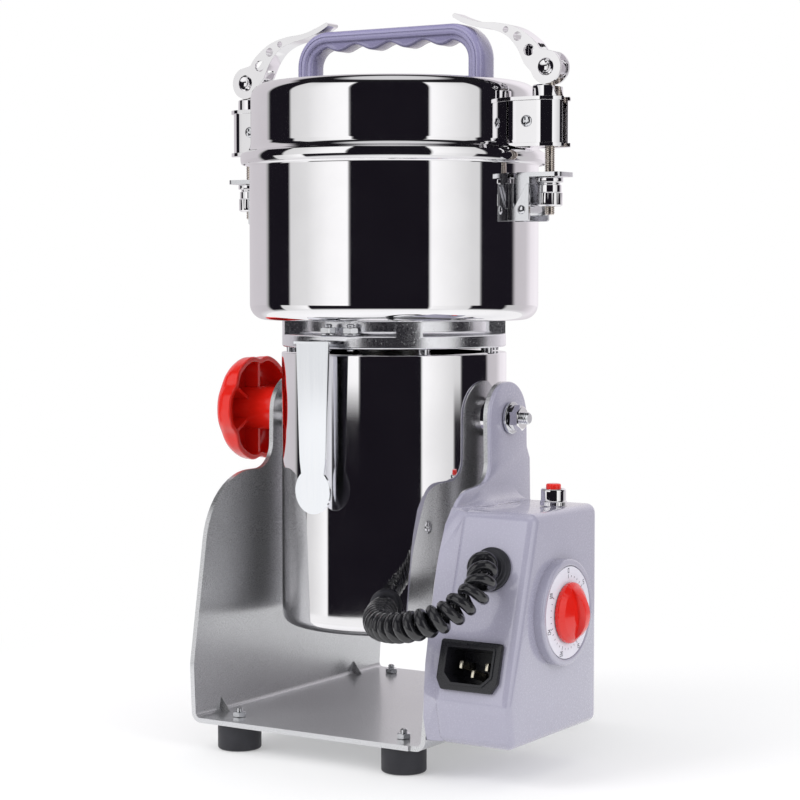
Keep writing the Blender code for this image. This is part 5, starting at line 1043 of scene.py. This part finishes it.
def build_breaker():
    top = BOX_TOP
    profile = rounded([
        (0, top - 24, 0), (9.5, top - 24, 1.0), (9.5, top - 2.8, 0.8), (4.6, top - 2.8, 0), (4.6, top + 0.3, 0),
        (6.6, top + 0.3, 0.2), (6.6, top + 2.4, 0.5), (6.1, top + 2.8, 0), (6.1, top + 8.5, 0.9),
        (3.9, top + 8.5, 0.3), (3.9, top + 1.5, 0), (0, top + 1.5, 0),
    ], 4)
    milled = grooves(40, 0.02, lambda radius, height: radius > 6.4 and height < top + 2.2)
    barrel = shifted(turned(profile, 120, "Z", milled), *BREAKER, 0)
    put("breaker_barrel", barrel, POLISHED, "frame", ["breaker_body"])
    button = rounded([(0, 131.0, 0), (3.6, 131.0, 0), (3.6, 137.9, 0.8), (0, 137.9, 0)], 5)
    serrated = grooves(20, 0.05, lambda radius, height: radius > 3.3 and height > 135.9)
    cap = shifted(turned(button, 80, "Z", serrated), *BREAKER, 0)
    put("breaker_button", cap, RED, "reset", ["reset_button"])


# the curly cord's centreline between the gland and the shell
COIL_ROUTE = (
    (99.6, -80.6, 101.4), (101.6, -85.6, 97.6), (101.2, -90.0, 93.0), (97.6, -95.0, 88.8), (92.6, -100.0, 83.5),
    (85.4, -104.0, 80.2), (75.2, -105.0, 77.2), (62.9, -101.0, 75.1), (49.8, -91.0, 74.1), (40.2, -77.5, 74.7),
)
WIRE, HELIX = 2.55, 4.85  # radius of the cord, and of the helix its middle runs on
LOOSE, TIGHT = 6.9, 5.5  # the helix's pitch by the box and by the shell
STEP = 0.19


def build_coil():
    """The curly cord: wire wound about the CAD's centreline, loose by the box and tighter by the motor."""
    start = front_place(*GLAND)
    gland = (start + OUTWARD * 4.3, start + OUTWARD * 8.5)
    shell = (CORD_OUTWARD * 68.8 + Vector((0, 0, 76.2)), CORD_OUTWARD * 63.4 + CORD_HEIGHT)
    middle = smooth_route([*gland, *COIL_ROUTE, *shell], 0.5)
    lengths = [0.0]
    for a, b in zip(middle, middle[1:]):
        lengths.append(lengths[-1] + (b - a).length)
    total = lengths[-1]
    wound = []
    tangent = (middle[1] - middle[0]).normalized()
    normal = tangent.orthogonal().normalized()
    turn, at, k = 0.0, 0.0, 0
    while at < total:
        while k < len(lengths) - 2 and lengths[k + 1] < at:
            k += 1
        share = (at - lengths[k]) / max(lengths[k + 1] - lengths[k], 1e-6)
        ahead = (middle[k + 1] - middle[k]).normalized()
        normal = across(tangent.rotation_difference(ahead) @ normal, ahead)
        tangent = ahead
        reach = HELIX * min(1.0, min(at, total - at) / (2.0 if at < total / 2 else 7.0))
        pitch = LOOSE + (TIGHT - LOOSE) * min(1.0, max(0.0, at - 34) / 22.0)
        out = normal * math.cos(turn) + tangent.cross(normal) * math.sin(turn)
        wound.append(middle[k].lerp(middle[k + 1], share) + out * reach)
        turn += 2 * math.pi * STEP / pitch
        at += STEP
    wound.append(middle[-1])
    obj = placed("curly_cord", tube(wound, WIRE), CORD)
    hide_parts("coiled_cord")
    start, end = [tuple(AXIS + p * 0.001) for p in (middle[0], middle[-1])]
    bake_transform(obj)


# ---- the CAD nodes that are carried over as they are ----
INSIDE = (
    (BLACK, "timer_body"),
    (STACK, "stator armature"),
    (BRASS, "commutator"),
    (INNER, "bearing_lower bearing_upper motor_shaft serrated_liner blade_lower blade_upper blade_spacer blade_nut"),
    (RUBBER, "shaft_seal"),
    (BRIGHT, "star_knob_stud star_knob_washer"),
)


def dress_inside():
    for look, names in INSIDE:
        for name in names.split():
            dress(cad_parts[name].data, look)


# ---- stage ----
CAMERA_PLACE = (0.59035, -0.95845, 0.2404)
CAMERA_TARGET = (-0.01305, -0.00065, 0.1741)


def aimed(data, place, target):
    """A camera or lamp of the data, looking from the place at the target."""
    obj = linked(data.name, data)
    obj.location = place
    obj.rotation_euler = (Vector(target) - Vector(place)).to_track_quat("-Z", "Y").to_euler()
    return obj


def build_camera():
    data = bpy.data.cameras.new("photo_camera")
    data.sensor_width = 36.0
    data.lens = 98.957
    data.clip_start = 0.05
    data.clip_end = 30.0
    data.dof.use_dof = False
    bpy.context.scene.camera = aimed(data, CAMERA_PLACE, CAMERA_TARGET)


def build_floor():
    """A pale disc that fades into the white around it."""
    bm = bmesh.new()
    bmesh.ops.create_circle(bm, cap_ends=True, segments=96, radius=0.5)
    floor = linked("studio_floor", as_mesh(bm))
    floor.location = (0, 0, -0.0003)
    paint = Paint("pale_floor", (0.93, 0.93, 0.935), 0.85, specular_ior_level=0.1)
    distance = paint.node("VectorMath", [paint.place], operation="LENGTH").outputs["Value"]
    reach = {"Value": distance, "From Min": 0.15, "From Max": 0.40, "To Min": 0.30}
    fade = paint.node("MapRange", reach, interpolation_type="SMOOTHSTEP").outputs["Result"]
    glow = paint.node("Emission", {"Strength": 1.0}).outputs["Emission"]
    surface = paint.node("MixShader", [fade, paint.shader.outputs["BSDF"], glow]).outputs["Shader"]
    paint.tree.links.new(surface, paint.tree.nodes["Material Output"].inputs["Surface"])
    floor.data.materials.append(paint.material)


# brightness of the panels around the object by azimuth in degrees, above and below the camera's height
UPPER_BANDS = (
    (-180, 0.64), (-176.5, 0.40), (-174, 0.011), (-148.3, 0.011), (-147, 0.75), (-145, 0.75), (-130, 0.813),
    (-121, 0.935), (-110, 1.056), (-97, 1.10), (-93.7, 1.10), (-92.5, 0.0103), (-30.5, 0.0103), (-29.2, 1.08),
    (-26, 1.08), (-18, 1.0), (-10, 0.93), (-2, 0.846), (6, 0.763), (13.2, 0.74), (14.5, 0.012), (49, 0.012),
    (54, 0.60), (70, 0.63), (82, 0.92), (96, 0.98), (110, 0.92), (125, 0.66), (180, 0.64),
)
LOWER_BANDS = (
    (-180, 0.60), (-176.5, 0.40), (-174, 0.011), (-159, 0.011), (-158, 0.75), (-150, 0.80), (-140, 0.93),
    (-131, 1.08), (-129.6, 1.08), (-128.4, 0.0103), (-30.5, 0.0103), (-29.2, 1.06), (-22, 0.98), (-12, 0.9),
    (-2, 0.80), (4.8, 0.75), (6, 0.012), (40, 0.012), (44, 0.60), (70, 0.63), (96, 0.90), (125, 0.66), (180, 0.60),
)
INKY, TINTED = (0.88, 0.74, 1.12), (1.0, 0.955, 1.0)  # tints of the dark panels and of the dimmer pale ones


def panel(angle, level):
    """A panel's place on the ramp, and its colour."""
    tint = INKY if level < 0.05 else TINTED if level > 0.5 and (angle < -177 or angle > 50) else (1.0, 1.0, 1.0)
    return (angle + 180) / 360, [level * share for share in tint]


def build_world():
    """A soft studio: tall pale and dark panels around the object, as its polished steel shows them."""
    world = bpy.data.worlds.new("studio")
    bpy.context.scene.world = world
    world.use_nodes = True
    world.node_tree.nodes.clear()
    sky = Nodes(world.node_tree)

    def maths(operation, *values):
        return sky.node("Math", values, operation=operation).outputs[0]

    direction = sky.node("TexCoord").outputs["Generated"]
    x, y, z = sky.node("SeparateXYZ", [direction]).outputs
    turn = maths("ADD", maths("DIVIDE", maths("ARCTAN2", y, x), 2 * math.pi), 0.5)
    height = maths("MULTIPLY", maths("ARCSINE", z), 180 / math.pi)

    def bands(stops):
        return sky.ramp(turn, [panel(*stop) for stop in stops])

    def rising(low, high, under, over):
        """One look below the low elevation and the other above the high one."""
        return sky.mix(sky.spread(height, 0.0, 1.0, low, high), under, over)

    around = rising(-3.9, -2.9, bands(LOWER_BANDS), bands(UPPER_BANDS))
    ceiling = rising(64.0, 72.0, rising(42.0, 48.0, around, (0.012, 0.011, 0.014)), (0.70, 0.70, 0.71))
    seen = rising(-26.0, -18.0, (0.86, 0.86, 0.87), ceiling)
    soft = rising(-30.0, 60.0, (0.70, 0.70, 0.72), (1.05, 1.05, 1.06))
    rays = sky.node("LightPath").outputs
    final = sky.mix(rays["Is Camera Ray"], sky.mix(rays["Is Glossy Ray"], soft, seen), (1.0, 1.0, 1.0))
    background = sky.node("Background", {"Color": final, "Strength": 1.0})
    sky.node("OutputWorld", {"Surface": background.outputs[0]})


def build_lights():
    for name, place, size, energy in (
        ("key_left", (-0.9, -1.5, 1.3), 1.1, 16.0), ("key_right", (1.7, -0.35, 0.9), 0.9, 7.0),
    ):
        data = bpy.data.lights.new(name, "AREA")
        data.shape = "DISK"
        data.size = size
        data.energy = energy
        lamp = aimed(data, place, (0, 0, 0.15))
        lamp.visible_camera = False
        lamp.visible_glossy = False


# ---- the whole ----
build_frame()
build_feet()
build_pivot()
build_star()
build_box()
build_inlet()
build_gland()
build_dial()
build_breaker()
build_motor()
build_bell()
build_strip()
build_bowl()
build_lid()
build_handle()
for side in (-1, 1):
    build_ear(side)
    build_lever(side)
    build_swing_bolt(side)
    build_bracket(side)
dress_inside()
build_coil()
build_floor()
build_camera()
build_world()
build_lights()

scene = bpy.context.scene
scene.view_settings.view_transform = "Standard"
